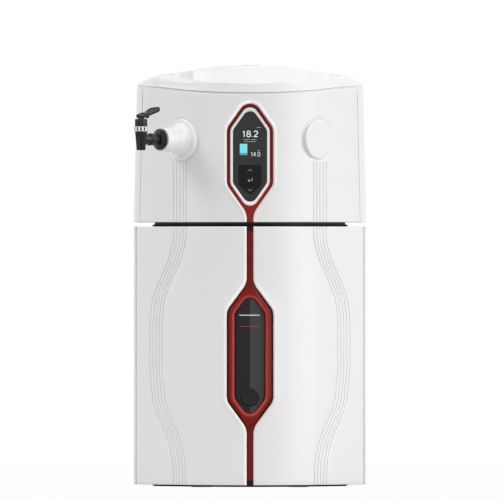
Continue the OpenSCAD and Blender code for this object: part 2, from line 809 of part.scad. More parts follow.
// Mains inlet and switch frame in one moulding
module mains_inlet() color(black) difference() {
  union() {
    translate([inlet_x - inlet_w / 2, panel_out + 0.1, inlet_z - inlet_h / 2]) cube([inlet_w, 2.4, inlet_h]);
    translate([inlet_x - inlet_w / 2 + 3, inlet_back, inlet_z - inlet_h / 2 + 3])
      cube([inlet_w - 6, inlet_d + 1, inlet_h - 6]);
  }
  difference() {
    translate([inlet_x - 12.2, panel_out - 15, socket_z - 8]) cube([24.4, 30, 16]);
    for (x = [-7, 0, 7]) translate([inlet_x + x - 1, panel_out - 16, socket_z + (x == 0 ? 3 : -1)])
      cube([2, 14, 4]);
  }
  translate([inlet_x - rocker_w / 2 - fit, rocker_y - 11, rocker_z - rocker_h / 2 - rocker_room])
    cube([rocker_w + 2 * fit, 40, rocker_h + 2 * rocker_room]);
  translate([inlet_x, rocker_y, rocker_z]) rotate([0, 90, 0])
    cylinder(h = rocker_w + 2 * (rocker_pin_l + fit), r = rocker_pin_r + pin_run, center = true, $fn = 48);
}

// Rocker, drawn tipped to its off side, on two stub pins along X
module rocker_switch() color(dark_grey) translate([inlet_x, rocker_y, rocker_z]) rotate([-rocker_tilt, 0, 0]) {
  through_side(rocker_w) polygon(rocker_outline());
  rotate([0, 90, 0]) cylinder(h = rocker_w + 2 * rocker_pin_l, r = rocker_pin_r, center = true, $fn = 48);
}
function rocker_outline() = rounded([
  [-4, rocker_h / 2 - 1, 2], [13, rocker_h / 2 - 0.4, 1], [10.4, 0, 0],
  [13, -rocker_h / 2 + 0.4, 1], [-4, -rocker_h / 2 + 1, 2], [-9, 0, 4]
], 4);

// ---- Band between the housings ----

module lower_dock_plate() color(black) {
  z0 = z_deck + deck_t;
  plan_slab(z0, z_low_top + band_h * 0.5, plinth_inset + 2);
  plan_slab(z0 + 1.2, z_low_top + band_h * 0.5 - 0.6, plinth_inset);
}

pan_z = z_up + fit;
module upper_dock_plate() color(dark_grey)
  plan_slab(z_low_top + band_h * 0.5, pan_z, plinth_inset + 4);

// ---- Upper housing ----

pan_t = 3;
pan_wall_h = 16;
lean_w = body_w - 2 * taper;

// Plan outlines lofted from the bottom width to the narrower top width
module lofted(z0, z1, inset) hull() {
  translate([0, 0, z0]) linear_extrude(eps) plan(inset, body_w - 2 * taper * (z0 - z_up) / upper_h, $fn = 64);
  translate([0, 0, z1 - eps]) linear_extrude(eps) plan(inset, body_w - 2 * taper * (z1 - z_up) / upper_h, $fn = 64);
}

pan_inset = side_wall + fit + taper * pan_wall_h / upper_h;

module upper_base_pan() color(off_white) difference() {
  union() {
    plan_slab(pan_z, pan_z + pan_t, pan_inset);
    plan_wall(pan_z, pan_z + pan_wall_h, pan_inset, 2.5);
  }
  wrapped(ring_back_r - fit, front_r + 10) polygon(upper_trim(fit));
}

// Where a wing ends and the side begins, at a given height
function wing_end(z) = corner_centre(0, body_w - 2 * taper * (z - z_up) / upper_h)[0] + corner_r * sin(wing_angle);

module wing_zone(d) polygon([
  for (p = [[-1, z_up - 1], [1, z_up - 1], [1, z_side + 40], [-1, z_side + 40]])
    [p[0] * (wing_end(p[1]) + d), p[1]]
]);

seam_flat_y = nose_y + (seam_side - seam_nose) / tan(seam_slope);

// Everything below the lid's seam, lifted by d
module below_seam(d = 0) through_side() polygon([
  [-far, z_up - 1],
  [-far, seam_nose + d - (far + nose_y) * tan(seam_slope)],
  [seam_flat_y, seam_side + d],
  [far, seam_side + d],
  [far, z_up - 1],
]);

port_x = front_r * sin(port_angle);
port_y = nose_cy - front_r * cos(port_angle);
port_z = z_up + port_h;

// Places children at a port with +Z pointing out of the fascia and +Y up
module at_port(side) translate([side * port_x, port_y, port_z]) rotate([90, 0, side * port_angle]) children();

lip_h = 2.6;
recess_d = 1;
blank_stud_r = 8;

module nose_cut(r) translate([0, nose_cy, 0]) cylinder(h = far * 2, r = r, center = true);

module upper_fascia() color(white) difference() {
  union() {
    intersection() {
      plan_wall(z_up, z_side, 0, wall);
      through_front(-far, 0) wing_zone(-0.25);
      below_seam();
    }
    intersection() {
      plan_wall(z_up + 20, z_side, 1.8, wall - 0.4);
      through_front(-far, 0) wing_zone(-6);
      difference() {
        below_seam(lip_h);
        below_seam(-10);
      }
    }
  }
  through_front(-far, nose_cy) polygon(upper_trim(fit));
  for (s = [-1, 1]) {
    intersection() {
      at_port(s) cylinder(h = 60, r = recess_r, center = true);
      difference() {
        nose_cut(front_r + 20);
        nose_cut(front_r - recess_d);
      }
    }
    at_port(s) cylinder(h = 60, r = (s < 0 ? shank_r : blank_stud_r) + fit, center = true);
  }
}

module upper_housing() color(white) {
  difference() {
    intersection() {
      lofted(z_up, z_side, 0);
      below_seam();
    }
    lofted(z_up - 5, z_side + 5, side_wall);
    through_front(-far, 0) wing_zone(0.25);
    translate([-120, 0, upper_fitting_z]) rotate([-90, 0, 0]) cylinder(h = far, r = 7 + fit);
  }
  for (s = [-1, 1]) lid_ear(s);
}

// Ear on the rear wall that holds a lid pin
module lid_ear(s) difference() {
  translate([s * (ear_x + ear_t / 2) - ear_t / 2, 0, 0]) rotate([90, 0, 90]) linear_extrude(ear_t) union() {
    translate([lid_axis_y, lid_axis_z]) circle(3.6, $fn = 48);
    polygon([
      [lid_axis_y - 3.6, lid_axis_z], [lid_axis_y + 3.6, lid_axis_z],
      [back_y - side_wall - taper * 0.1 + 1, seam_side - 2], [back_y - side_wall + 1, seam_side - 16],
      [lid_axis_y - 3.6, seam_side - 12],
    ]);
  }
  translate([0, lid_axis_y, lid_axis_z]) rotate([0, 90, 0]) cylinder(h = far, r = pin_r + pin_run, center = true);
}

ring_back_r = front_r - wall - 9;
module display_ring() color(red) difference() {
  wrapped(ring_back_r + 5, front_r + 1.2) intersection() {
    polygon(upper_trim(0));
    translate([-half_w, z_up + 0.3]) square([body_w, upper_h]);
  }
  wrapped(front_r - 40, front_r + 10) polygon(upper_hexagon(ring_border, 17, 15));
}

module display_border() color(white) wrapped(ring_back_r, front_r + 0.5) difference() {
  polygon(upper_hexagon(ring_border, 17, 15));
  polygon(upper_hexagon(ring_border + white_border, 14, 13));
}

glass_back_r = front_r - 6;
glass_face_r = front_r - 0.6;

// Keypad outline, grown by d: rounded flat top and a pointed bottom
function keypad_outline(d) =
  let (top = z_up + key_top + d, w = key_half + d, low = z_up + key_top - 2 * key_h)
  rounded([
    [w, top, 5], [-w, top, 5], [-w, low, 8 + d], [0, low - 17 - d * 1.5, 5 + d], [w, low, 8 + d]
  ]);

module display_glass() color(black) wrapped(glass_back_r, glass_face_r) difference() {
  polygon(upper_hexagon(ring_border + white_border, 14, 13));
  polygon(keypad_outline(key_gap));
}

// One key: the keypad outline between two heights measured down from its top
module key(from, to) color(dark_grey) wrapped(glass_back_r + 0.6, glass_face_r + 0.3) intersection() {
  polygon(keypad_outline(0));
  translate([-half_w, z_up + key_top - to + key_gap / 2]) square([body_w, to - from - key_gap]);
}

module key_up() key(-10, key_h);
module key_enter() key(key_h, 2 * key_h);
module key_down() key(2 * key_h, 4 * key_h);

mat_face_r = glass_back_r - 0.4;
board_y = nose_cy - (ring_back_r - 3);
screen_half = 21;
screen_z = z_up + key_top + 4;
screen_h = ring_apex_z - 50 - screen_z;
screen_board_z = z_up + 56;
screen_board_h = ring_apex_z - 54 - screen_board_z;
module keypad_mat() color(dark_grey) wrapped(mat_face_r - 2.2, mat_face_r) polygon(keypad_outline(3));

// Screen on its board
module screen_module() color("#15181a") {
  front = nose_cy - sqrt(pow(glass_back_r - fit, 2) - pow(screen_half, 2));
  translate([-screen_half, front, screen_z]) cube([2 * screen_half, board_y - front + 0.1, screen_h]);
  translate([-30, board_y, screen_board_z]) cube([60, 1.6, screen_board_h]);
}

// Round blank plug with a soft rim and a stud
module port_blank() color(white) difference() {
  at_port(1) union() {
    rotate_extrude() polygon(rounded([
      [0, -6, 0], [blank_r, -6, 0], [blank_r, 3.6, 2.6], [blank_r - 6, 4.4, 8], [0, 4.4, 0]
    ]));
    translate([0, 0, -18]) cylinder(h = 16, r = blank_stud_r);
  }
  intersection() {
    nose_cut(front_r - recess_d + 0.15);
    at_port(1) difference() {
      cylinder(h = 60, r = blank_r + 5, center = true);
      cylinder(h = 62, r = blank_stud_r, center = true);
    }
  }
}

nut_s = -wall - recess_d - 0.3;
nut_t = 8;
module port_nuts() color(off_white) for (s = [-1, 1]) at_port(s) difference() {
  translate([0, 0, nut_s - nut_t]) cylinder(h = nut_t, r = 18, $fn = 6);
  translate([0, 0, nut_s - nut_t - 1]) cylinder(h = nut_t + 2, r = (s < 0 ? shank_r : blank_stud_r) + 0.1);
}

// Trumpet shaped boss that carries the tap
module tap_boss() color(white) difference() {
  at_port(-1) rotate_extrude() polygon(rounded([
    [shank_r + fit, -6, 0], [boss_flange_r, -6, 0], [boss_flange_r, 2, 0], [boss_flange_r - 1.6, 3.6, 0],
    [boss_flange_r - 4, 4.4, 0], [boss_neck_r, 16, 26], [boss_neck_r - 1, boss_len, 1.5], [shank_r + fit, boss_len, 0]
  ]));
  nose_cut(front_r - recess_d + 0.15);
}

nut_face = boss_len + 0.2;
module tap_flange_nut() color(black) at_port(-1) rotate_extrude() polygon(rounded([
  [shank_r + 0.1, nut_face, 0], [17.6, nut_face, 0], [18.6, nut_face + 1, 0], [18.6, nut_face + 3.4, 1.2],
  [16.4, nut_face + 3.8, 0], [shank_r + 2.4, nut_face + 8, 1], [shank_r + 0.1, nut_face + 8, 0]
], 4));

shank_in = 24;
tank_gap_s = 40;
spout_top = 14;
chamber_r = 6.6;
chamber_y = -6;
mouth_bore_r = 4.6;
flutes = 16;

// Tap body: shank with its rounded collar, and an upright fluted spout
module tap_body() color(black) at_port(-1) difference() {
  union() {
    translate([0, 0, -shank_in]) cylinder(h = shank_in + tap_reach - 16, r = shank_r);
    translate([0, 0, tap_reach - 16]) cylinder(h = 14, r1 = shank_r, r2 = shank_r - 2);
    rotate_extrude() polygon(rounded([
      [2, boss_len + 16, 0], [shank_r + 1.8, boss_len + 16, 3], [shank_r + 1.8, boss_len + 30, 3],
      [2, boss_len + 30, 0]
    ], 6));
    translate([0, spout_top, tap_reach]) rotate([90, 0, 0]) difference() {
      union() {
        cylinder(h = spout_h, r1 = spout_r, r2 = mouth_r);
        cylinder(h = 2.5, r = spout_r + 0.4);
      }
      for (i = [0:flutes - 1]) rotate([0, 0, 360 * (i + 0.5) / flutes])
        translate([spout_r - 0.8, -0.6, 4]) rotate([0, -atan((spout_r - mouth_r) / spout_h), 0])
          translate([-0.5, 0, 0]) cube([3, 1.2, spout_h + 4]);
    }
  }
  translate([0, 0, -shank_in - 1]) cylinder(h = shank_in + tap_reach, r = 4);
  translate([0, spout_top + 1, tap_reach]) rotate([90, 0, 0]) {
    cylinder(h = spout_top + 1 - chamber_y, r = chamber_r);
    cylinder(h = far, r = mouth_bore_r);
  }
}

// Places children on the tap's upright axis, with +Z up and +X back towards the housing
module at_tap(z = 0) at_port(-1) translate([0, spout_top + z, tap_reach]) rotate([-90, 90, 0]) children();

module tap_collar() color(white) at_tap(0.2) difference() {
  cylinder(h = collar_h, r = 13);
  translate([0, 0, -1]) cylinder(h = collar_h + 2, r = chamber_r);
  for (a = [0:30:330]) rotate([0, 0, a]) translate([11.6, -1.2, 1.6]) cube([5, 2.4, collar_h - 3.2]);
}

bonnet_z = collar_h + 0.4;
spring_r = 4.6;
bonnet_r = 11;
pivot_rise = 5;
pivot_z = bonnet_z + bonnet_h + pivot_rise;
lug_half = 5;
lug_r = 4;
cheek_t = 3.8;
cheek_r = 4.6;
cheek_half = lug_half + fit + cheek_t;

// Bonnet with the lug that the lever straddles
module tap_bonnet() color(black) at_tap(bonnet_z) difference() {
  union() {
    cylinder(h = bonnet_h - 1.5, r = bonnet_r);
    translate([0, 0, bonnet_h - 1.5]) cylinder(h = 1.5, r1 = bonnet_r, r2 = bonnet_r - 1.5);
    translate([0, lug_half, 0]) rotate([90, 0, 0]) linear_extrude(2 * lug_half) {
      translate([0, bonnet_h + pivot_rise]) circle(lug_r, $fn = 48);
      translate([-lug_r, bonnet_h - 3]) square([2 * lug_r, pivot_rise + 3]);
    }
  }
  translate([0, 0, -1]) cylinder(h = bonnet_h - 2, r = 7);
  translate([0, 0, -1]) cylinder(h = bonnet_h + pivot_rise, r = 2.4);
  translate([0, 0, bonnet_h + pivot_rise]) rotate([90, 0, 0]) cylinder(h = 20, r = pin_r + pin_run, center = true);
}

module tap_lever_pin() color(steel) at_tap(pivot_z) rotate([90, 0, 0])
  cylinder(h = 2 * cheek_half - 1, r = pin_r, center = true);

// Spoon lever that rises back towards the housing: two cheeks, a root and a hollowed paddle
module tap_lever() color(black) at_tap(pivot_z) difference() {
  rotate([0, -lever_slope, 0]) {
    rotate([90, 0, 0]) cylinder(h = 2 * cheek_half, r = cheek_r, center = true);
    hull() {
      rotate([90, 0, 0]) cylinder(h = 2 * cheek_half, r = cheek_r - 0.2, center = true, $fn = 32);
      for (y = [-5.4, 5.4]) translate([lever_len * 0.36, y, 0.2]) sphere(r = 2.2, $fn = 20);
    }
    hull() {
      for (y = [-5.4, 5.4]) translate([lever_len * 0.36, y, 0.2]) sphere(r = 2.2, $fn = 20);
      for (y = [-6.4, 6.4]) translate([lever_len * 0.68, y, 1.4]) sphere(r = 2, $fn = 20);
      for (y = [-4.4, 4.4]) translate([lever_len - 4, y, 3.4]) sphere(r = 1.8, $fn = 20);
    }
  }
  rotate([90, 0, 0]) cylinder(h = 30, r = pin_r + pin_run, center = true);
  rotate([90, 0, 0]) cylinder(h = 2 * (lug_half + fit), r = lug_r + 1.6, center = true);
  translate([-12, -lug_half - fit, -20]) cube([12, 2 * (lug_half + fit), 40]);
  rotate([0, -lever_slope, 0]) translate([lever_len * 0.72, 0, 34]) sphere(r = 32.4);
}

seat_r = chamber_r - 0.8;
stem_foot = chamber_y - spout_top + fit;
stem_top = pivot_z - pin_r - stem_lift - 0.5;
module tap_stem() color(steel) at_tap(0) {
  translate([0, 0, stem_foot]) cylinder(h = 4, r = seat_r);
  translate([0, 0, stem_foot + 4]) cylinder(h = 3, r = 4.5);
  translate([0, 0, stem_foot]) cylinder(h = stem_top - stem_foot, r = 2.2);
}

spring_z0 = stem_foot + 7.1;
spring_z1 = bonnet_z + bonnet_h - 3.3;
module tap_spring() color(steel) at_tap(spring_z0) coil(spring_r, 0.7, spring_z1 - spring_z0, 6);

tank_top = z_side - 42;
tank_inset = 16;
neck_at = [40, 30];
// Reservoir with its neck, cut back for the display and the two ports
module reservoir_tank() color("#e6ecee") difference() {
  union() {
    plan_slab(pan_z + pan_t, tank_top, tank_inset, lean_w);
    translate([neck_at[0], neck_at[1], tank_top - 1]) cylinder(h = 16, r = 38);
  }
  translate([-60, -far - 140, z_up]) cube([120, far, upper_h]);
  for (s = [-1, 1]) at_port(s) translate([0, 0, -tank_gap_s]) cylinder(h = far, r = 30);
  for (s = [-1, 1]) at_port(s) translate([-30, 0, -tank_gap_s]) cube([60, far, far]);
  translate([-120, 0, upper_fitting_z]) rotate([-90, 0, 0]) translate([0, 0, back_y - 30]) cylinder(h = 40, r = 16);
}

module tank_cap() color(dark_grey) translate([neck_at[0], neck_at[1], tank_top]) difference() {
  union() {
    translate([0, 0, fit]) cylinder(h = 22, r = 44);
    translate([0, 0, 22]) cylinder(h = 6, r1 = 24, r2 = 20);
    translate([0, 0, 27]) cylinder(h = 18, r = 17);
  }
  translate([0, 0, -1]) cylinder(h = 16 + fit, r = 38 + fit);
  for (a = [0:15:345]) rotate([0, 0, a]) translate([45, 0, 2]) cylinder(h = 17, r = 2, $fn = 12);
}

module level_sensor() color(black) translate([-80, 60, tank_top]) {
  cylinder(h = 12, r = 16, $fn = 6);
  translate([0, 0, 11]) cylinder(h = 14, r = 9);
  translate([0, 0, 24]) cylinder(h = 6, r1 = 9, r2 = 4);
}

// ---- Lid ----

rim_lift = seam_gap + rim_h;
lid_lean = 3;
crest_lean = 15;
crest_t = 0.7;
crest_fall = 0.07;

// Top outline of the lid from the front: shoulders, then the crest
function lid_top(d) = rounded(mirrored([
  [half_w + 10, z_up, 0],
  [half_w + 10, z_side - 4 - d, 0],
  [body_w * 0.485 - taper, z_side + 0.6 - d, 6],
  [body_w * 0.39, z_side + lid_rise * 0.47 - d, 30],
  [block_half + 2, z_side + lid_rise * 0.68 - d, 40],
  [block_half * 0.56, z_crest - crest_t - 1.4 - d, 50],
  [block_half * 0.2, z_crest - crest_t - d, 20],
]));

module lid_form(inset, d) intersection() {
  hull() {
    translate([0, 0, seam_nose]) linear_extrude(eps) plan(inset, lean_w, $fn = 64);
    translate([0, 0, seam_nose + rim_lift]) linear_extrude(eps) plan(inset + lid_lean, lean_w, $fn = 64);
    translate([0, 0, z_crest]) linear_extrude(eps) plan(inset + crest_lean, lean_w, $fn = 64);
  }
  through_front(-far, far) polygon(lid_top(d));
  through_side() polygon(rounded([
    [-far, z_up, 0], [-far, z_crest - crest_t - d, 0], [-20, z_crest - crest_t - d, 300],
    [far, z_crest - crest_t - d - (far + 20) * crest_fall, 0], [far, z_up, 0]
  ], 6));
}

module scoop(s, d, inset, reach, drop) intersection() {
  plan_wall(seam_nose, z_crest + 1, inset - d, reach + 2 * d, lean_w);
  difference() {
    translate([s > 0 ? block_half - d : -block_half - scoop_w - d, -far, seam_nose]) cube([scoop_w + 2 * d, far - 20, 100]);
    below_seam(rim_lift - drop - d);
  }
}

module lid() color(white) difference() {
  union() {
    difference() {
      lid_form(0, 0);
      below_seam(seam_gap);
      lid_cavity();
      for (s = [-1, 1]) {
        scoop(s, 0, -2, 8, 0);
        scoop(s, 0, wall + 1.5, scoop_reach, scoop_drop);
      }
    }
    translate([0, lid_axis_y, lid_axis_z]) rotate([0, 90, 0])
      cylinder(h = 2 * ear_x - 1, r = lid_bead_r, center = true);
  }
  for (s = [-1, 1]) translate([s * (ear_x + ear_t / 2) - ear_t / 2 - 0.6, 0, 0]) rotate([90, 0, 90])
    linear_extrude(ear_t + 1.2) {
      translate([lid_axis_y, lid_axis_z]) circle(ear_notch_r);
      translate([lid_axis_y - ear_notch_r, seam_side]) square([far, lid_axis_z - seam_side]);
    }
  for (s = [-1, 1]) translate([s * (ear_x - 10), lid_axis_y, lid_axis_z]) rotate([0, 90, 0])
    cylinder(h = 24, r = pin_r + pin_run, center = true);
  translate([-crest_w - fit, crest_y - fit, z_crest - 2 * crest_t]) cube([2 * (crest_w + fit), crest_l + 2 * fit, 5]);
}

module lid_cavity() difference() {
  lid_form(wall, wall);
  for (s = [-1, 1]) scoop(s, wall, wall + 1.5, scoop_reach, scoop_drop);
  for (s = [-1, 1]) scoop(s, wall, 0, 8, 0);
}

crest_w = 14;
crest_l = 9;
crest_y = -40;
// Red strip let into the lid's crest
module crest_strip() color(red)
  translate([-crest_w, crest_y, z_crest - 2 * crest_t]) cube([2 * crest_w, crest_l, 2 * crest_t]);

plinth();
rubber_feet();
base_tray();
cabinet_shell();
top_deck();
centre_column();
bulkhead_panel();
front_spine();
spine_end_caps();
spine_panel();
release_button();
button_spring();
left_door();
right_door();
door_catches();
hinge_pins();
left_cartridge();
right_cartridge();
docking_manifold();
uv_chamber();
ultrafilter();
circulation_pump();
solenoid_valves();
water_hoses();
power_supply();
control_board();
service_panel();
water_fittings();
mains_inlet();
rocker_switch();
cover_screws();
lower_dock_plate();
upper_dock_plate();
upper_base_pan();
upper_fascia();
upper_housing();
display_ring();
display_border();
display_glass();
screen_module();
key_up();
key_enter();
key_down();
keypad_mat();
port_blank();
port_nuts();
tap_boss();
tap_flange_nut();
tap_body();
tap_collar();
tap_bonnet();
tap_lever();
tap_lever_pin();
tap_stem();
tap_spring();
reservoir_tank();
tank_cap();
level_sensor();
lid();
crest_strip();
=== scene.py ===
"""Looks of a stacked laboratory ultrapure water system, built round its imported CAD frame.

Sizes are in millimetres and turned to metres when a mesh is made. X right, Y back, Z up.
"""
import math

import bpy
import numpy as np
from mathutils import Matrix, Vector


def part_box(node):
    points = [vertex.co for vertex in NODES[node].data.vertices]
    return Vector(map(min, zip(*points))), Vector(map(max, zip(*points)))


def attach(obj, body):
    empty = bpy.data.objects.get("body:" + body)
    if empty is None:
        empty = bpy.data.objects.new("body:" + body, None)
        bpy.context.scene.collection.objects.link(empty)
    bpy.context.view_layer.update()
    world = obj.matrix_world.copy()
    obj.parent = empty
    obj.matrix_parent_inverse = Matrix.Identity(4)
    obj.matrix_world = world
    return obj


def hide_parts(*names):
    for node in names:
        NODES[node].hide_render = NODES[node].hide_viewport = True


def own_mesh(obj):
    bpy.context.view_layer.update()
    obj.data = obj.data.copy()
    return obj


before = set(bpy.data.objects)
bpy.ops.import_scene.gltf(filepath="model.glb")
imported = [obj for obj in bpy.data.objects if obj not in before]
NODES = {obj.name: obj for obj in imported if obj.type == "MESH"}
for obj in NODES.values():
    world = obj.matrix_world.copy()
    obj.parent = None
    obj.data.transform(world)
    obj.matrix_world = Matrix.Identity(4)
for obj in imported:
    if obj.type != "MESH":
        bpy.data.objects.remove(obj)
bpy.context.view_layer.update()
MM = 0.001

# ---- Sizes shared with the part's source ----
BODY_W = 410.0
DEPTH = 376.0
FRONT_R = 170.0
WING = math.radians(47)
CORNER_R = 40.0
REAR_R = 25.0
WALL = 3.0
TAPER = 6.0
Z_LOW = 4.2
LOWER_H = 454.0
BAND_H = 7.6
UPPER_H = 245.0
LID_RISE = 31.5
STRIPE = 5.4
FLARE_R = 34.0
FRAME_BORDER = 14.0
RING_BORDER = 5.4
WHITE_BORDER = 5.1
FIT = 0.3
DOOR_GAP = 0.6
DOOR_FLANGE = 14.0
HINGE_ANGLE = math.radians(31)
BEAD_R = 3.6
PIN_HOLE_R = 1.56
SEAM_SLOPE = math.radians(6.5)
SEAM_GAP = 3.4
PORT_ANGLE = math.radians(45)
RECESS_R = 38.5

HALF_W = BODY_W / 2
NOSE_Y = -DEPTH / 2
BACK_Y = DEPTH / 2
NOSE_CY = NOSE_Y + FRONT_R
Z_LOW_TOP = Z_LOW + LOWER_H
Z_UP = Z_LOW_TOP + BAND_H
Z_SIDE = Z_UP + UPPER_H
Z_CREST = Z_SIDE + LID_RISE
Z_FLOOR = Z_LOW + 3
Z_DECK = Z_LOW_TOP - 4.5
SEAM_NOSE = Z_UP + 224
SEAM_SIDE = Z_SIDE - SEAM_GAP
PORT_Z = Z_UP + 145
GLASS_R = FRONT_R - 0.6

# Hexagons of the trim: half width, lowest and highest point, slope of their ends
FRAME = (40.3, Z_LOW + 93, Z_LOW + 361, 1.36)
RING = (40.3, Z_UP + 8, Z_UP + 222, 1.42)
FRAME_SIDE_R = 24
RING_SIDE_R = 22
RING_END_R = 20

# Layout of the front view in the picture: millimetres per pixel, its middle and the ground
PIXEL = 1.7634
MIDDLE_PX = 250
GROUND_PX = 486.4


def px(x, y):
    """Place in the front view, in millimetres, of a mark at x, y in the picture's layout."""
    return (x - MIDDLE_PX) * PIXEL, (GROUND_PX - y) * PIXEL


def px_box(x0, y0, x1, y1):
    """Left, right, bottom and top of an area in the picture's layout."""
    (left, bottom), (right, top) = px(x0, y0), px(x1, y1)
    return left, right, bottom, top


# ---- Curves and outlines ----
def join(*coordinates):
    """Points from their coordinates, along a new last axis."""
    return np.stack(np.broadcast_arrays(*coordinates), -1)


def unit(v):
    return v / np.linalg.norm(v)


def smooth(x, lo, hi):
    """Rises from 0 at lo to 1 at hi, level at both ends."""
    t = np.clip((np.asarray(x, float) - lo) / (hi - lo), 0, 1)
    return t * t * (3 - 2 * t)


def quarter_round(d, r):
    """Share of r by which a rounded edge falls away at a distance d inside it."""
    return 1 - np.sqrt(np.clip(1 - (1 - np.clip(d / r, 0, 1)) ** 2, 0, 1))


def soft_min(a, b, k):
    """The lower of two heights, blended where they are closer than k."""
    h = np.clip(0.5 + 0.5 * (b - a) / k, 0, 1)
    return b * (1 - h) + a * h - k * h * (1 - h)


def smooth_curve(x, marks, window, mirrored=False):
    """Curve through (place, value) marks, averaged over a window of its 400 samples."""
    at, values = np.array(marks, float).T
    t = np.linspace(at[0], at[-1], 400)
    raw = np.interp(t, at, values)
    start = raw[1:window + 1][::-1] if mirrored else np.full(window, raw[0])
    padded = np.concatenate([start, raw, np.full(window, raw[-1])])
    kernel = np.hanning(2 * window + 1)
    return np.interp(x, t, np.convolve(padded, kernel / kernel.sum(), "valid"))


def lengths(line):
    """Arc length at each point of a line."""
    return np.concatenate([[0], np.cumsum(np.linalg.norm(np.diff(line, axis=0), axis=1))])


def resample(line, count):
    """A line as so many evenly spaced points."""
    s = lengths(line)
    t = np.linspace(0, s[-1], count)
    return join(*(np.interp(t, s, column) for column in line.T))


def distance(points, line, closed=False):
    """Distance of 2D points from a polyline."""
    if closed:
        line = np.vstack([line, line[:1]])
    best = np.full(points.shape[:-1], np.inf)
    for p0, d in zip(line[:-1], np.diff(line, axis=0)):
        q = points - p0
        t = np.clip((q @ d) / max(d @ d, 1e-12), 0, 1)[..., None]
        best = np.minimum(best, np.linalg.norm(q - t * d, axis=-1))
    return best


def rounded(corners, chords=20):
    """Outline from (x, y, radius) corners, with arcs of so many chords."""
    out, m = [], len(corners)
    for i, (x, y, r) in enumerate(corners):
        p1 = np.array((x, y), float)
        if r <= 0:
            out.append(p1)
            continue
        p0, p2 = (np.array(corners[(i + k) % m][:2], float) for k in (-1, 1))
        u, v = unit(p0 - p1), unit(p2 - p1)
        half = math.acos(max(-1, min(1, float(u @ v)))) / 2
        c = p1 + unit(u + v) * r / math.sin(half)
        a, b = p1 + u * r / math.tan(half) - c, p1 + v * r / math.tan(half) - c
        out += [c + unit(a + (b - a) * k / chords) * r for k in range(chords + 1)]
    return np.array(out)


def hexagon(shape, inset, r_side, r_end):
    """Closed outline of a hexagon of the trim, drawn in by inset."""
    half, low, high, slope = shape
    k = math.hypot(1, slope)
    w, lo, hi = half - inset, low + inset * k, high - inset * k
    return rounded([(0, lo, r_end), (w, lo + slope * w, r_side), (w, hi - slope * w, r_side),
                    (0, hi, r_end), (-w, hi - slope * w, r_side), (-w, lo + slope * w, r_side)])


def trim_corners(shape, d, z_start, r_side):
    """Corners d outside the trim's right edge, up its stripe and round the hexagon's side."""
    half, low, high, slope = shape
    k = math.hypot(1, slope)
    s, w, lo, hi = STRIPE + d, half + d, low - d * k, high + d * k
    return [(-s, z_start, 0), (s, z_start, 0), (s, lo + slope * s, FLARE_R),
            (w, lo + slope * w, r_side + d), (w, hi - slope * w, r_side + d)]


def lower_trim(d=0.0):
    """Right edge of the lower trim, from bottom to top."""
    slope, top, s = FRAME[3], Z_LOW_TOP + 1, STRIPE + d
    hi = FRAME[2] + d * math.hypot(1, slope)
    return rounded(trim_corners(FRAME, d, Z_LOW - 1, FRAME_SIDE_R)
                   + [(s, hi - slope * s, FLARE_R), (s, top, 0), (-s, top, 0)])[1:-1]


def upper_trim(d=0.0):
    """Right edge of the upper trim, from bottom to the apex."""
    corners = trim_corners(RING, d, Z_UP - 1, RING_SIDE_R)
    w, shoulder, r = corners[-1]
    hi = RING[2] + d * math.hypot(1, RING[3])
    line = rounded(corners + [(0, hi, RING_END_R + d), (-w, shoulder, r)], 24)
    return line[1:int(np.argmax(line[:, 1])) + 1]


def half_right(closed_outline):
    """Right half of a symmetric closed outline, from its lowest point to its highest."""
    low, high = closed_outline[:, 1].min(), closed_outline[:, 1].max()
    right = closed_outline[closed_outline[:, 0] > 1e-6]
    right = right[np.argsort(np.arctan2(right[:, 1] - (low + high) / 2, right[:, 0]))]
    return np.vstack([[0, low], right, [0, high]])


def x_at(line, z):
    """Where a rising outline is at a height."""
    return np.interp(z, line[:, 1], line[:, 0])


def stretch(line, z0, z1):
    """The stretch of a rising outline between two heights."""
    inside = line[(line[:, 1] > z0) & (line[:, 1] < z1)]
    return np.vstack([(x_at(line, z0), z0), inside, (x_at(line, z1), z1)])


# ---- Plan of the housing ----
def corner_centre(w=BODY_W, inset=0.0):
    """Centre and radius of the corner between the wing and the side."""
    r = max(CORNER_R - inset, 2)
    x = w / 2 - inset - r
    return x, NOSE_CY + (x * math.sin(WING) - (FRONT_R - inset - r)) / math.cos(WING), r


def plan_path(w=BODY_W, inset=0.0, step=1.0):
    """Right half of the plan from the nose to the back: points, outward normals, arc lengths."""
    cx, cy, r = corner_centre(w, inset)
    rear_r = max(REAR_R - inset, 2)
    rear = BACK_Y - inset
    points, normals = [], []
    for x, y, radius, a0, a1 in ((0, NOSE_CY, FRONT_R - inset, 0, WING), (cx, cy, r, WING, math.pi / 2),
                                 (cx + r - rear_r, rear - rear_r, rear_r, math.pi / 2, math.pi)):
        count = max(int(radius * (a1 - a0) / step), 6)
        for a in np.linspace(a0, a1, count + 1):
            points.append((x + radius * math.sin(a), y - radius * math.cos(a)))
            normals.append((math.sin(a), -math.cos(a)))
    points, normals = np.array(points + [(0, rear)]), np.array(normals + [(0, 1)])
    return points, normals, lengths(points)


PATH, NORMAL, ARC = plan_path(step=0.5)
FRONT_PART = ARC < ARC[np.argmax(PATH[:, 0] > HALF_W - 0.01)]
DOOR_END = ARC[np.argmin(np.abs(np.arctan2(NORMAL[:, 0], -NORMAL[:, 1]) - (math.pi / 2 - HINGE_ANGLE)))]


def arc_at(x):
    """Arc length along the front of the right half, at an x."""
    return np.interp(x, PATH[FRONT_PART, 0], ARC[FRONT_PART])


def surface(s, inset=0.0):
    """Points in plan for arc lengths along the right half."""
    p, n = (join(*(np.interp(s, ARC, column) for column in line.T)) for line in (PATH, NORMAL))
    return p - n / np.linalg.norm(n, axis=-1, keepdims=True) * np.asarray(inset)[..., None]


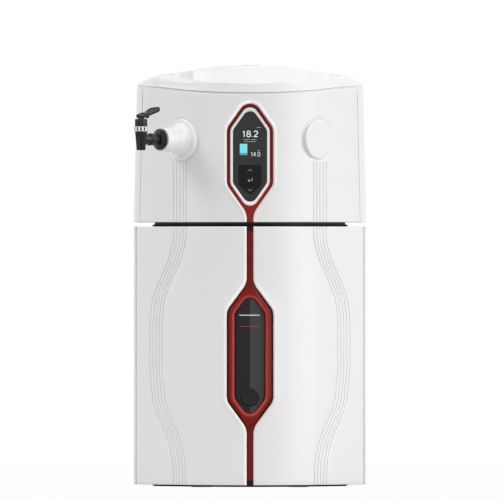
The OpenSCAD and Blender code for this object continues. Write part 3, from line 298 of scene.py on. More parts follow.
def on_nose(x, z, r):
    """Front view points (x, z) on the nose at radius r."""
    return join(x, NOSE_CY - np.sqrt(r * r - x * x), z)


def raised(plan, z):
    """3D points from points in plan and their heights."""
    return join(plan[..., 0], plan[..., 1], z)


# ---- Mesh helpers ----
class Shell:
    """Collects grids of points into one mesh."""

    def __init__(self, verts=(), faces=(), n=0):
        self.verts, self.faces, self.n = list(verts), list(faces), n

    def add(self, points):
        """Adds points and gives back the number of the first."""
        self.verts.append(points.reshape(-1, 3))
        self.n += points.size // 3
        return self.n - points.size // 3

    def grid(self, points, wrap=False, flip=False):
        """Faces between neighbours of a grid; wrap joins its last column to the first."""
        points = np.asarray(points, float)
        rows, cols = points.shape[:2]
        idx = self.add(points) + np.arange(rows * cols).reshape(rows, cols)
        for i in range(rows - 1):
            for j in range(cols if wrap else cols - 1):
                k = (j + 1) % cols
                f = (idx[i, j], idx[i, k], idx[i + 1, k], idx[i + 1, j])
                self.faces.append(f[::-1] if flip else f)

    def strip(self, line_a, line_b, flip=False):
        """Faces between two lines of as many points."""
        self.grid(np.stack([line_a, line_b]), flip=flip)

    def wall(self, line_a, line_b, flip=False):
        """The same, with the lines as columns."""
        self.grid(np.stack([line_a, line_b], 1), flip=flip)

    def caps(self, loops, flip=False):
        """One face over the first and one over the last of a stack of loops."""
        for loop, turn in ((loops[0], flip), (loops[-1], not flip)):
            start = self.add(loop)
            face = tuple(range(start, start + len(loop)))
            self.faces.append(face[::-1] if turn else face)

    def mirrored(self):
        """The same on the left half."""
        return Shell([v * (-1, 1, 1) for v in self.verts], [f[::-1] for f in self.faces], self.n)

    def both_halves(self):
        left = self.mirrored()
        shifted = [tuple(i + self.n for i in f) for f in left.faces]
        return Shell(self.verts + left.verts, self.faces + shifted, 2 * self.n)

    def weld(self, eps=0.01):
        """Joins points that share a cell of size eps and drops faces that collapse."""
        v = np.vstack(self.verts)
        key = np.round(v / eps).astype(np.int64)
        _, first, inverse = np.unique(key, axis=0, return_index=True, return_inverse=True)
        inverse = inverse.reshape(-1).tolist()
        faces = [list(dict.fromkeys(inverse[i] for i in f)) for f in self.faces]
        return v[first], [f for f in faces if len(f) > 2]

    def build(self, name, material, body="housing", replaces=(), sharp=40, weld=True):
        """Makes the piece, rides it on its body and names the nodes whose looks it takes over."""
        verts, faces = self.weld() if weld else (np.vstack(self.verts), self.faces)
        mesh = bpy.data.meshes.new(name)
        mesh.from_pydata((verts * MM).tolist(), [], [list(f) for f in faces])
        mesh.update()
        mesh.validate()
        mesh.shade_smooth()
        mesh.set_sharp_from_angle(angle=math.radians(sharp))
        mesh.materials.append(material)
        obj = bpy.data.objects.new(name, mesh)
        bpy.context.scene.collection.objects.link(obj)
        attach(obj, body)
        if replaces:
            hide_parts(*replaces)
        return obj


def placed(points, m):
    """Points taken from a frame, given by its 4 x 4 matrix, to the world."""
    return points @ m[:3, :3].T + m[:3, 3]


# ---- Materials ----
def add_node(tree, kind, inputs=None, **settings):
    """A shader node with its settings, and its inputs set to values or linked to sockets."""
    node = tree.nodes.new("ShaderNode" + kind)
    for key, value in settings.items():
        setattr(node, key, value)
    set_inputs(node, inputs or {})
    return node


def set_inputs(node, inputs):
    for key, value in inputs.items():
        if isinstance(value, bpy.types.NodeSocket):
            node.id_data.links.new(value, node.inputs[key])
        else:
            node.inputs[key].default_value = value


def new_material(name):
    """A material, its node tree, its shader and the place on the object."""
    material = bpy.data.materials.new(name)
    material.use_nodes = True
    tree = material.node_tree
    return material, tree, tree.nodes["Principled BSDF"], add_node(tree, "TexCoord").outputs["Object"]


def noise(tree, place, scale, detail=3.0, rough=0.5):
    inputs = {"Vector": place, "Scale": scale, "Detail": detail, "Roughness": rough}
    return add_node(tree, "TexNoise", inputs).outputs["Fac"]


def ramp(tree, share, stops):
    """Colour by a value, from (position, colour) stops."""
    node = add_node(tree, "ValToRGB", {"Fac": share})
    elements = node.color_ramp.elements
    for position, _ in stops[1:-1]:
        elements.new(position)
    for element, (position, colour) in zip(elements, stops):
        element.position = position
        element.color = (*colour, 1)
    return node.outputs["Color"]


def shades(tree, share, spans, colour, dim, bright):
    """A colour that goes from dim to bright times its value while share passes its span."""
    low, high = np.array(colour) * dim, np.minimum(np.array(colour) * bright, 1)
    return ramp(tree, share, ((spans[0], low), (spans[1], high)))


def spread(tree, value, lo, hi, start=0.0, end=1.0):
    inputs = {"Value": value, "From Min": start, "From Max": end, "To Min": lo, "To Max": hi}
    return add_node(tree, "MapRange", inputs).outputs["Result"]


def bump(tree, height, strength, size):
    inputs = {"Height": height, "Strength": strength, "Distance": size}
    return add_node(tree, "Bump", inputs).outputs["Normal"]


FINE_GRAIN = 0.00001


def plastic(name, colour, rough=0.3, vary=0.03, grain=900.0, grain_depth=0.00002, strength=0.25, coat=0.0,
            coat_rough=0.1, specular=0.5, subsurface=0.0, transmission=0.0):
    """Moulded plastic: slow tone changes from the melt's flow, uneven gloss and a fine spark-eroded grain."""
    material, tree, shader, place = new_material(name)
    flow, gloss = noise(tree, place, 7.0, 4.0, 0.6), noise(tree, place, 60.0, 5.0, 0.65)
    set_inputs(shader, {
        "Base Color": shades(tree, flow, (0.25, 0.75), colour, 1 - vary, 1 + vary),
        "Roughness": spread(tree, gloss, rough * 0.85, rough * 1.15),
        "Normal": bump(tree, noise(tree, place, grain, 2.0, 0.5), strength, grain_depth),
        "Specular IOR Level": specular,
        "Coat Weight": coat,
        "Coat Roughness": coat_rough,
        "Transmission Weight": transmission,
        "Subsurface Weight": subsurface,
    })
    if subsurface:
        set_inputs(shader, {"Subsurface Radius": (0.004, 0.004, 0.004)})
    return material


def recolour(material, share, stops):
    """Puts a ramp over share in place of a material's own colour."""
    tree = material.node_tree
    set_inputs(tree.nodes["Principled BSDF"], {"Base Color": ramp(tree, share, stops)})


def crease_painted_light(material, left, right, crease=0.0004):
    """Painted light: colour that changes at the middle of the object, where its surface is creased, one half
    painted as shade and the other as a reflection.
    """
    tree = material.node_tree
    place = add_node(tree, "TexCoord").outputs["Object"]
    x = add_node(tree, "SeparateXYZ", {0: place}).outputs["X"]
    recolour(material, spread(tree, x, 0.0, 1.0, -crease, crease), ((0.0, left), (1.0, right)))


def painted_light_tones(material, low, middle, high):
    """Painted light: colour that follows the vertex values of set_painted_light, from -1 to 1, so that shade,
    highlights and reflections are painted into the surface.
    """
    tree = material.node_tree
    values = add_node(tree, "Attribute", attribute_name="edge").outputs["Fac"]
    recolour(material, spread(tree, values, 0.0, 1.0, -1.0), ((0.0, low), (0.5, middle), (1.0, high)))


# painted light goes only on the front skin: within this depth of the nose and in front of this depth
TONE_DEPTH, TONE_BACK_Y = 1.9, -150


def set_painted_light(obj, tone):
    """Writes tone(x, z), in mm, to the vertices on the front skin of a mesh: the painted light that the
    material turns into colour.
    """
    mesh = obj.data
    at = np.empty(3 * len(mesh.vertices))
    mesh.vertices.foreach_get("co", at)
    x, y, z = at.reshape(-1, 3).T / MM
    outside = (np.hypot(x, y - NOSE_CY) > FRONT_R - TONE_DEPTH) & (y < TONE_BACK_Y)
    values = np.where(outside, tone(x, z), 0.0)
    # the "edge" attribute holds the painted light values
    mesh.attributes.new("edge", "FLOAT", "POINT").data.foreach_set("value", values.astype(np.float32))


def bezel_painted_light(outline):
    """Painted light beside the red trim: a painted highlight on the left side and a painted pink reflection
    of the red on the right side.
    """
    def tone(x, z):
        return -np.sign(x) * (1 - smooth(distance(join(np.abs(x), z), outline), 3.2, 6.4))
    return tone


def brushed(name, colour, rough=0.32, along=(4, 4, 500)):
    """Metal with fine lines that run one way."""
    material, tree, shader, place = new_material(name)
    drawn = add_node(tree, "Mapping", {"Vector": place, "Scale": along}).outputs["Vector"]
    lines = noise(tree, drawn, 3.0, 8.0, 0.7)
    set_inputs(shader, {
        "Base Color": shades(tree, lines, (0.3, 0.7), colour, 0.86, 1.08),
        "Roughness": spread(tree, lines, rough * 0.75, rough * 1.3),
        "Normal": bump(tree, lines, 0.12, 0.00005),
        "Metallic": 1.0,
    })
    return material


def speckled(name, base, spots, scale, rough):
    """Circuit board lacquer, with a fine trace-like mottling."""
    material, tree, shader, place = new_material(name)
    cells = add_node(tree, "TexVoronoi", {"Vector": place, "Scale": scale}, feature="DISTANCE_TO_EDGE")
    gap = cells.outputs["Distance"]
    set_inputs(shader, {
        "Base Color": ramp(tree, gap, ((0.03, spots), (0.06, base))),
        "Roughness": spread(tree, noise(tree, place, 90), rough * 0.8, rough * 1.2),
        "Normal": bump(tree, gap, 0.2, 0.0001),
    })
    return material


def lit(name, colour, strength):
    """A lit element of the display, very slightly uneven from its pixels."""
    material, tree, shader, place = new_material(name)
    set_inputs(shader, {
        "Emission Color": shades(tree, noise(tree, place, 2500.0, 1.0), (0.3, 0.7), colour, 0.9, 1.05),
        "Emission Strength": strength,
        "Base Color": (0.02, 0.02, 0.02, 1),
        "Roughness": 0.25,
    })
    return material


WHITE = plastic("white_gloss", (0.80, 0.80, 0.80), rough=0.42, vary=0.006, grain_depth=FINE_GRAIN, coat=0.5,
                coat_rough=0.2)
# beside the red trim: a painted pink reflection of the red, the plain white, and a near-white painted
# highlight
painted_light_tones(WHITE, (0.84, 0.70, 0.70), (0.80, 0.80, 0.80), (0.97, 0.96, 0.95))
# painted light: the lid's white is a lighter copy of the housing's white, so its top reads as lit
LID_WHITE = plastic("lid_white", (0.82, 0.82, 0.82), rough=0.42, vary=0.006, grain_depth=FINE_GRAIN, coat=0.1,
                    coat_rough=0.2)
WHITE_TRIM = plastic("white_trim", (0.85, 0.85, 0.85), rough=0.28, vary=0.006, coat=0.3)
OFF_WHITE = plastic("off_white", (0.66, 0.67, 0.67), rough=0.5, grain=600, grain_depth=0.00004)
RED = plastic("red_gloss", (0.24, 0.008, 0.006), rough=0.26, vary=0.04, grain_depth=FINE_GRAIN, coat=0.04,
              coat_rough=0.08, specular=0.12)
# painted shade on the red moulding's outer edges, its plain red, and a painted highlight along its crest
painted_light_tones(RED, (0.045, 0.003, 0.002), (0.235, 0.011, 0.008), (0.46, 0.075, 0.065))
CAP = plastic("cap_dark_red", (0.010, 0.003, 0.003), rough=0.4, vary=0.1, specular=0.2)
BLACK_GLOSS = plastic("black_gloss", (0.006, 0.006, 0.0065), vary=0.15, grain_depth=FINE_GRAIN, coat=0.1,
                      specular=0.32)
BLACK = plastic("black_matte", (0.008, 0.008, 0.009), rough=0.45, vary=0.2, grain=700, grain_depth=0.00005,
                specular=0.25)
DARK = plastic("dark_grey", (0.028, 0.028, 0.030), rough=0.4, vary=0.12, grain=800, grain_depth=0.00003)
PANEL = plastic("panel_gloss", (0.013, 0.013, 0.014), rough=0.24, vary=0.08, grain_depth=0.000005, coat=0.12,
                coat_rough=0.06, specular=0.24)
# left half painted dark as shade, right half painted lighter as a reflection off the crease
crease_painted_light(PANEL, (0.004, 0.004, 0.0045), (0.040, 0.039, 0.040))
KEY = plastic("key_matte", (0.006, 0.006, 0.0065), rough=0.42, vary=0.1, grain=1100, grain_depth=0.00003,
              specular=0.16)
GLASS = plastic("display_glass", (0.010, 0.0105, 0.011), rough=0.14, grain_depth=0.000003, strength=0.1,
                specular=0.4)
SCREEN = plastic("screen", (0.006, 0.007, 0.008), vary=0.1)
RUBBER = plastic("rubber", (0.02, 0.02, 0.021), rough=0.75, vary=0.2, grain=500, grain_depth=0.0001,
                 strength=0.5)
HOSE = plastic("hose", (0.66, 0.72, 0.75), rough=0.25, vary=0.04, transmission=0.45)
TANK = plastic("tank", (0.70, 0.75, 0.78), rough=0.4, vary=0.04, grain=250, grain_depth=0.0002,
               subsurface=0.15)
STEEL = brushed("steel", (0.56, 0.57, 0.58))
STEEL_SHEET = brushed("steel_sheet", (0.60, 0.61, 0.62), rough=0.38, along=(300, 4, 4))
BOARD = speckled("circuit_board", (0.012, 0.06, 0.025), (0.03, 0.16, 0.07), 160, 0.3)
KEY_INK = plastic("key_ink", (0.34, 0.34, 0.34), rough=0.35, vary=0.02)
INK_WHITE = plastic("ink_white", (0.72, 0.72, 0.72), rough=0.35, vary=0.02)
INK_RED = plastic("ink_red", (0.30, 0.03, 0.03), rough=0.35, vary=0.05)
LIT_WHITE = lit("lit_white", (0.92, 0.95, 0.97), 0.95)
LIT_DIM = lit("lit_dim", (0.55, 0.58, 0.60), 0.6)
LIT_CYAN = lit("lit_cyan", (0.19, 0.80, 0.88), 0.95)
LIT_CYAN_DARK = lit("lit_cyan_dark", (0.10, 0.42, 0.50), 0.8)

NODES_OF = {
    WHITE: "cabinet_shell left_door right_door upper_fascia upper_housing port_blank tap_boss",
    LID_WHITE: "lid",
    WHITE_TRIM: "display_border tap_collar",
    OFF_WHITE: "base_tray top_deck centre_column upper_base_pan port_nuts left_cartridge right_cartridge "
               "ultrafilter water_fittings",
    RED: "front_spine display_ring crest_strip",
    CAP: "spine_end_caps",
    BLACK_GLOSS: "tap_body tap_bonnet tap_lever tap_flange_nut",
    BLACK: "plinth lower_dock_plate release_button mains_inlet level_sensor solenoid_valves",
    DARK: "docking_manifold circulation_pump rocker_switch upper_dock_plate tank_cap door_catches",
    PANEL: "spine_panel",
    KEY: "key_up key_enter key_down",
    GLASS: "display_glass",
    SCREEN: "screen_module",
    RUBBER: "rubber_feet keypad_mat",
    STEEL: "hinge_pins uv_chamber cover_screws tap_lever_pin tap_stem tap_spring button_spring",
    STEEL_SHEET: "bulkhead_panel power_supply service_panel",
    BOARD: "control_board",
    HOSE: "water_hoses",
    TANK: "reservoir_tank",
}


def dress_nodes():
    for material, names in NODES_OF.items():
        for name in names.split():
            mesh = NODES[name].data
            mesh.materials.clear()
            mesh.materials.append(material)


# ---- Skins on the front ----
GROOVE_HALF, GROOVE_DEEP = 0.95, 2.1
GROOVE_COLUMNS = np.array([-1.3, -0.85, -0.45, -0.2, 0, 0.2, 0.45, 0.85, 1.3])
TRIM_COLUMNS = np.array([0, 0.3, 0.7, 1.2, 1.9, 2.8, 4, 5.5, 7.2, 9, 11, 13.2, 15.6, 18.2, 21])
END_R = 1.4


def groove(d):
    """Height of a groove's wall at a distance from its middle."""
    return -GROOVE_DEEP * np.exp(-(d / (GROOVE_HALF * 0.6)) ** 2)


def thinned(values, gap):
    """Rising values without those closer than gap to the last one kept."""
    kept = [values[0]]
    for v in values[1:]:
        if v - kept[-1] > gap:
            kept.append(v)
    return np.array(kept)


def row_heights(z0, z1, outline, step=9.0, extra=()):
    """Heights of a skin's rows: even, denser along the trim's curves and at the two ends."""
    ends = [d for k in (0.15, 0.5, 1.0) for d in (z0 + END_R * k, z1 - END_R * k)]
    even = np.linspace(z0, z1, int((z1 - z0) / step) + 1)
    rows = thinned(sorted([*even, *(z for z in outline[:, 1] if z0 < z < z1), *extra, *ends]), 0.12)
    rows[-1] = z1
    return rows


def end_round(z, z0, z1):
    """How far a skin draws in at its two ends."""
    return END_R * quarter_round(np.minimum(z - z0, z1 - z), END_R) * 0.8


def between(a, b, count):
    """Columns strictly between two per-row positions."""
    return a[:, None] + (b - a)[:, None] * np.linspace(0, 1, count + 2)[1:-1]


def trim_distance(s, z, outline):
    """Distance from the trim's outline of skin points at arc length s and height z."""
    return distance(join(surface(s)[..., 0], z), outline)


def add_skin(shell, s, z, lift):
    """Moulded skin raised by lift, with its back face a wall behind it; gives back both."""
    skin, back = raised(surface(s, -lift), z), raised(surface(s, WALL), z)
    shell.grid(skin)
    shell.grid(back, flip=True)
    shell.strip(skin[0], back[0], flip=True)
    shell.strip(skin[-1], back[-1])
    return skin, back


# ---- Doors ----
WAVE_MARKS = [px(x, y) for x, y in ((314.0, 490), (314.6, 463), (318.4, 442), (326.4, 424), (334.5, 403),
                                    (337.7, 371), (337.7, 321), (335.4, 299), (328.0, 280), (319.3, 262),
                                    (313.6, 240), (313.6, 200))]
WAVE_WINDOW = 15
WAVE_STEP = 5.35
GROOVES = 5
LIP_W = 1.6
RIB_HEIGHTS = (60, 243, 426)
RIB_START, RIB_DEEP, RIB_THICK = 62, 8.0, 2.5


def wave_x(z):
    """Innermost groove of the right half at a height, as a smooth curve through the marks."""
    return smooth_curve(z, [(height, x) for x, height in WAVE_MARKS], WAVE_WINDOW)


def collar(a, z):
    """Soft raised collar beside the trim: tall round the hexagon, low beside the stripe."""
    middle, half = (FRAME[1] + FRAME[2]) / 2, (FRAME[2] - FRAME[1]) / 2
    near = smooth(half + 6 - np.abs(z - middle), 0, 46)
    lip = 1 - smooth(a, 0.0, LIP_W)
    soft, steep = 1 - smooth(a, 2.2, 5 + 13 * near), 1 - smooth(a, 2.2, 5.6)
    tall = 0.35 + 1.75 * near
    return tall * (0.45 * soft + 0.55 * steep) + 0.5 * steep * (1 - near) - lip * (0.9 + 0.4 * near)


def door_shell():
    """The right door: skin with its wave of grooves, rolled edge, flange and ribs."""
    outline = lower_trim(DOOR_GAP)
    zs = row_heights(Z_LOW, Z_LOW_TOP, outline)
    start = arc_at(x_at(outline, zs))
    end = np.full(len(zs), DOOR_END)
    wave = wave_x(zs)
    lines = [arc_at(wave + WAVE_STEP * k) for k in range(GROOVES)]
    s = np.concatenate([start[:, None] + TRIM_COLUMNS,
                        between(start + TRIM_COLUMNS[-1], lines[0] - 2, 9),
                        *(line[:, None] + GROOVE_COLUMNS for line in lines),
                        between(lines[-1] + 2, end, 12),
                        end[:, None]], 1)
    z = np.repeat(zs[:, None], s.shape[1], 1)
    lift = collar(trim_distance(s, z, outline), z)
    for line in lines:
        lift += groove(s - line[:, None])
    at_hinge = smooth(s, DOOR_END - 3, DOOR_END)
    lift -= end_round(z, Z_LOW, Z_LOW_TOP) * (1 - at_hinge)
    shell = Shell()
    skin, back = add_skin(shell, s, z, lift)
    roll_edge(shell, skin[:, -1], back[:, -1])
    inner_flange(shell, skin[:, 0], back[:, 0], outline)
    for height in RIB_HEIGHTS:
        rib(shell, height)
    return shell


def roll_edge(shell, outer, inner):
    """Rolled edge that runs on from the skin, round the hinge pin and back to the inner face."""
    x, y, r = corner_centre()
    reach = r - BEAD_R
    pin = np.array((x + reach * math.cos(HINGE_ANGLE), y - reach * math.sin(HINGE_ANGLE)))
    start = math.pi / 2 - HINGE_ANGLE
    angles = np.linspace(start, start + math.radians(290), 26)
    turn = join(np.sin(angles), -np.cos(angles))
    low, high = Z_FLOOR + 0.4, Z_DECK - 0.4
    zs = outer[:, 2]
    ring = np.stack([raised(pin + BEAD_R * turn, z) for z in (low, *zs[(zs > low) & (zs < high)], high)])
    shell.grid(ring)
    shell.wall(outer, inner)
    shell.strip(ring[0], raised(pin + PIN_HOLE_R * turn, low))
    shell.strip(ring[-1], raised(pin + PIN_HOLE_R * turn, high), flip=True)


def inner_flange(shell, outer, inner, outline):
    """Flange that follows the trim and reaches in from the skin."""
    shell.wall(inner, outer)
    z = outer[:, 2]
    z = z[(z > Z_FLOOR + 20) & (z < Z_DECK - 20)]
    near, far = x_at(outline, z), x_at(lower_trim(DOOR_GAP + WALL), z)
    front, rear = FRONT_R - WALL, FRONT_R - WALL - DOOR_FLANGE
    corners = (near, front), (near, rear), (far, rear), (far, front)
    loops = np.stack([on_nose(x, z, r) for x, r in corners], 1)
    shell.grid(loops, wrap=True)
    shell.caps(loops)


def rib(shell, height):
    """Stiffening rib along the door's back."""
    s = np.linspace(RIB_START, DOOR_END - 12, 60)
    near, far = surface(s, WALL), surface(s, RIB_DEEP)
    top = height + RIB_THICK
    loops = [raised(near, height), raised(far, height), raised(far, top), raised(near, top)]
    shell.grid(np.stack(loops, 1), wrap=True)


def build_doors():
    right = door_shell()
    for side, shell in (("right", right), ("left", right.mirrored())):
        skin = shell.build("door_skin_" + side, WHITE, side + "_door", [side + "_door"], sharp=38)
        # painted highlight and painted red reflection beside the trim
        set_painted_light(skin, bezel_painted_light(lower_trim(DOOR_GAP)))


# ---- Front moulding with its hexagonal frame ----
SPINE_END = 9
FRAME_TURN = 4
PANEL_RECESS = 5.0
FRAME_SHARES = np.concatenate([np.linspace(0, 0.16, 7), np.linspace(0.2, 0.62, 8), np.linspace(0.66, 1, 14)])
STEM_SHARES = np.concatenate([np.linspace(0, 0.45, 7), np.linspace(0.55, 1, 5)])
FRAME_INNER = hexagon(FRAME, FRAME_BORDER, 16, 14)


def lay(shell, outer, inner, shares, height):
    """Face of a moulding from one line to another, at height(points) over the nose."""
    points = outer[:, None] + (inner - outer)[:, None] * shares[:, None]
    face = on_nose(points[..., 0], points[..., 1], FRONT_R + height(points))
    shell.grid(face, flip=True)
    return face


def near_frame(z, reach):
    """1 beside the lower hexagon's opening, falling to 0 at a distance above and below it."""
    low, high = FRAME_INNER[:, 1].min(), FRAME_INNER[:, 1].max()
    return smooth(z, low - reach, low - 2) * (1 - smooth(z, high + 2, high + reach))


def frame_height(a, b, near):
    """Height of the red moulding over the nose, at a from its outer and b from its inner edge.

    It has a rounded outer edge, a slope to a crest, then a fall to the recess.
    """
    edge = -1.5 * (1 - smooth(a, 0.0, 2.2)) ** 1.5 - 1.2 * (1 - smooth(a, 0.0, 4.6)) * near
    slope = 0.35 + 2.0 * smooth(a, 1.0, 7.5) * near
    inner = -4.6 * (1 - smooth(b, 0.0, 4.2)) ** 1.6 * near
    return edge + slope + inner


def build_spine():
    bottom, top = Z_LOW + SPINE_END, Z_LOW_TOP - SPINE_END
    low_turn, high_turn = FRAME[1] + FRAME_TURN, FRAME[2] - FRAME_TURN
    trim, opening = lower_trim(), half_right(FRAME_INNER)
    edge = stretch(trim, bottom, top)
    shell = Shell()

    def height(points):
        a, b = distance(points, trim), distance(points, FRAME_INNER, closed=True)
        return frame_height(a, b, near_frame(points[..., 1], 34))

    for z0, z1, m0, m1 in ((bottom, low_turn, bottom, opening[0, 1]), (high_turn, top, opening[-1, 1], top)):
        middle = join(0, np.linspace(m0, m1, 60))
        lay(shell, resample(stretch(edge, z0, z1), 60), middle, STEM_SHARES, height)
    frame_side = resample(stretch(edge, low_turn, high_turn), 240)
    rim = lay(shell, frame_side, resample(opening, 240), FRAME_SHARES, height)[:, -1]
    shell.wall(rim, rim + (0, PANEL_RECESS, 0), flip=True)
    x, z = edge.T
    shell.wall(on_nose(x, z, FRONT_R - 7), on_nose(x, z, FRONT_R + frame_height(0, 9, 0)), flip=True)

    # painted light on the red moulding: a painted highlight along the crest by the opening, painted shade
    # down its outer edge, and the stems painted darker away from the frame
    def tone(x, z):
        at = join(np.abs(x), z)
        a, b = distance(at, trim), distance(at, FRAME_INNER, closed=True)
        near = near_frame(z, 24)
        crest = smooth(b, 0.4, 2.4) * (1 - smooth(b, 3.2, 7.0))
        return near * (0.8 * crest - 1 + smooth(a, 0.8, 7.5)) - 0.45 * (1 - near)

    set_painted_light(shell.both_halves().build("red_spine", RED, replaces=["front_spine"], sharp=50), tone)


# ---- Upper front ----
LID_W = BODY_W - 2 * TAPER
LID_AXIS_Y, LID_AXIS_Z = BACK_Y - 7, Z_SIDE + 4.2
UPPER_LINES = [px(x, 0)[0] for x in (313.6, 316.6, 319.7, 323.0, 326.2)]
PORT_REACH = 42
RECESS_DEEP = 1.05
FASCIA_TOP_R = 1.2
RING_ROWS_TOP = Z_UP + 200


def port_place(side):
    """Middle of the left (-1) or right (1) port on the nose."""
    return np.array((side * FRONT_R * math.sin(PORT_ANGLE), NOSE_CY - FRONT_R * math.cos(PORT_ANGLE), PORT_Z))


def port_frame(side):
    """Matrix of a port: +Z out of the front, +Y up."""
    turn = Matrix.Rotation(side * PORT_ANGLE, 4, "Z") @ Matrix.Rotation(math.pi / 2, 4, "X")
    return np.array(Matrix.Translation(port_place(side)) @ turn)


def seam_z(y):
    """Height of the fascia's top edge at a depth."""
    return np.minimum(SEAM_NOSE + (y - NOSE_Y) * math.tan(SEAM_SLOPE), SEAM_SIDE)


def wing_end(z):
    """Where the fascia ends on the tapering wing."""
    return corner_centre(BODY_W - 2 * TAPER * (z - Z_UP) / UPPER_H)[0] + CORNER_R * math.sin(WING)


def upper_collar(a):
    lip = 1 - smooth(a, 0.0, 1.8)
    return 0.3 * (1 - smooth(a, 2.0, 9.0)) + 1.8 * (1 - smooth(a, 2.4, 6.0)) - 1.8 * lip


def port_recess(s, z):
    """1 inside the shallow round recess of the port, 0 outside it."""
    axis = np.array((math.sin(PORT_ANGLE), -math.cos(PORT_ANGLE), 0))
    q = raised(surface(s), z) - port_place(1)
    radial = np.linalg.norm(q - (q @ axis)[..., None] * axis, axis=-1)
    return 1 - smooth(radial, RECESS_R - 1.2, RECESS_R + 0.9)


def fascia_grid(outline, lines):
    """Arc lengths, heights and number of level rows of the fascia's grid; rows above follow the seam."""
    port_s = FRONT_R * PORT_ANGLE
    middle = np.concatenate([np.arange(port_s - PORT_REACH, port_s + PORT_REACH, 1.7),
                             *(line + GROOVE_COLUMNS for line in lines)])
    middle = np.unique(np.round(middle, 2))
    middle = middle[np.concatenate([[True], np.diff(middle) > 0.12])]

    def columns(z, x_edge):
        near = arc_at(x_edge) + TRIM_COLUMNS
        end = arc_at(wing_end(z) - 0.04)
        return np.concatenate([near, np.linspace(near[-1], middle[0], 8)[1:-1], middle,
                               np.linspace(middle[-1], end - 0.3, 7)[1:], [end, end + 0.1]])

    port_rows = np.arange(PORT_Z - PORT_REACH, PORT_Z + PORT_REACH, 1.6)
    rows = [*row_heights(Z_UP, RING_ROWS_TOP, outline, extra=port_rows),
            *(z for z in outline[:, 1] if z > RING_ROWS_TOP)]
    rows = thinned(np.unique(np.round(rows, 3)), 0.15)
    apex = rows[-1] = outline[-1, 1]
    s = [columns(z, x_at(outline, z)) for z in rows]
    seam = seam_z(surface(s[-1])[:, 1])
    shares = [*np.linspace(0, 1, 14)[1:-1], 1 - 0.9 / 20, 1 - 0.35 / 20, 1]
    above = apex + (seam - apex) * np.sort(shares)[:, None]
    top_columns = columns(SEAM_NOSE, 0.0)
    s = np.array(s + [top_columns] * len(shares))
    z = np.vstack([np.repeat(rows[:, None], s.shape[1], 1), above])
    return s, z, len(rows)


def build_fascia():
    outline = upper_trim(FIT)
    lines = [arc_at(x) for x in UPPER_LINES]
    s, z, level_rows = fascia_grid(outline, lines)
    # rows near the wings' tops can pass the seam there, so they are held under it
    seam = seam_z(surface(s)[..., 1])
    z = np.minimum(z, seam)
    lift = upper_collar(trim_distance(s, z, outline))
    recess_low = PORT_Z - RECESS_R
    for line in lines:
        lift += groove(s - line) * (1 - smooth(z, recess_low - 2, recess_low + 1))
    lift -= RECESS_DEEP * port_recess(s, z)
    lift -= 0.2 * smooth(s, s[:, -3:-2], s[:, -1:])
    lift -= end_round(z, Z_UP, seam + 4) * (z < Z_UP + 3)
    lift -= 0.9 * quarter_round(seam - z, FASCIA_TOP_R)
    shell = Shell()
    skin, back = add_skin(shell, s, z, lift)
    shell.wall(skin[:, -1], back[:, -1])
    shell.wall(back[:level_rows, 0], skin[:level_rows, 0])
    skin = shell.both_halves().build("fascia_skin", WHITE, replaces=["upper_fascia"], sharp=38)
    # painted highlight and painted red reflection beside the trim
    set_painted_light(skin, bezel_painted_light(outline))


def build_fascia_lip():
    """Strip that stands up behind the fascia's top edge, under the lid."""
    path, normal, _ = plan_path(LID_W, step=2.0)
    kept = path[:, 1] < LID_AXIS_Y - 30
    path, normal = path[kept], normal[kept]
    rows = []
    for inset, up in ((1.8, -4), (1.8, 2.6), (4.4, 2.6), (4.4, -4)):
        p = path - normal * inset
        rows.append(raised(p, seam_z(p[:, 1]) + up))
    strip = Shell()
    strip.grid(rows, flip=True)
    strip.both_halves().build("fascia_lip", WHITE, sharp=38)


# ---- Display ----
RING_STEM_TOP = Z_UP + 44
RING_SHARES = np.array([0, 0.08, 0.18, 0.32, 0.5, 0.68, 0.82, 0.92, 1.0])
RING_INNER = hexagon(RING, RING_BORDER, 17, 15)
GLASS_LINE = hexagon(RING, RING_BORDER + WHITE_BORDER, 14, 13)
BORDER_SECTION = ((0.02, -0.3), (0.1, 0.25), (0.25, 0.5), (0.5, 0.4), (0.75, -0.1), (0.92, -0.6), (1.0, -1.1))


def build_ring():
    trim, opening = upper_trim(), half_right(RING_INNER)
    edge = trim.copy()
    edge[0] = (STRIPE, Z_UP + FIT)
    stem = resample(edge[edge[:, 1] <= RING_STEM_TOP + 0.01], 60)
    body = resample(np.vstack([stem[-1:], edge[edge[:, 1] > RING_STEM_TOP]]), 200)
    shell = Shell()

    def height(points):
        a, b = distance(points, trim), distance(points, RING_INNER, closed=True)
        return 1.1 - 1.2 * (1 - smooth(a, 0, 0.9)) ** 1.4 - 1.0 * (1 - smooth(b, 0, 0.9)) ** 1.4

    lay(shell, stem, join(0, np.linspace(Z_UP + FIT, opening[0, 1], 60)), RING_SHARES, height)
    rim = lay(shell, body, resample(opening, 200), RING_SHARES, height)[:, -1]
    side = on_nose(edge[:, 0], edge[:, 1], FRONT_R - 0.4)
    shell.wall(side + (0, 6, 0), side, flip=True)
    shell.wall(rim, rim + (0, 4, 0), flip=True)
    ring = shell.both_halves().build("red_ring", RED, replaces=["display_ring"], sharp=50)
    # painted shade: the ring above its flare is painted darker than its stem and flare
    set_painted_light(ring, lambda x, z: 0.1 - 0.6 * smooth(z, Z_UP + 45, Z_UP + 85))


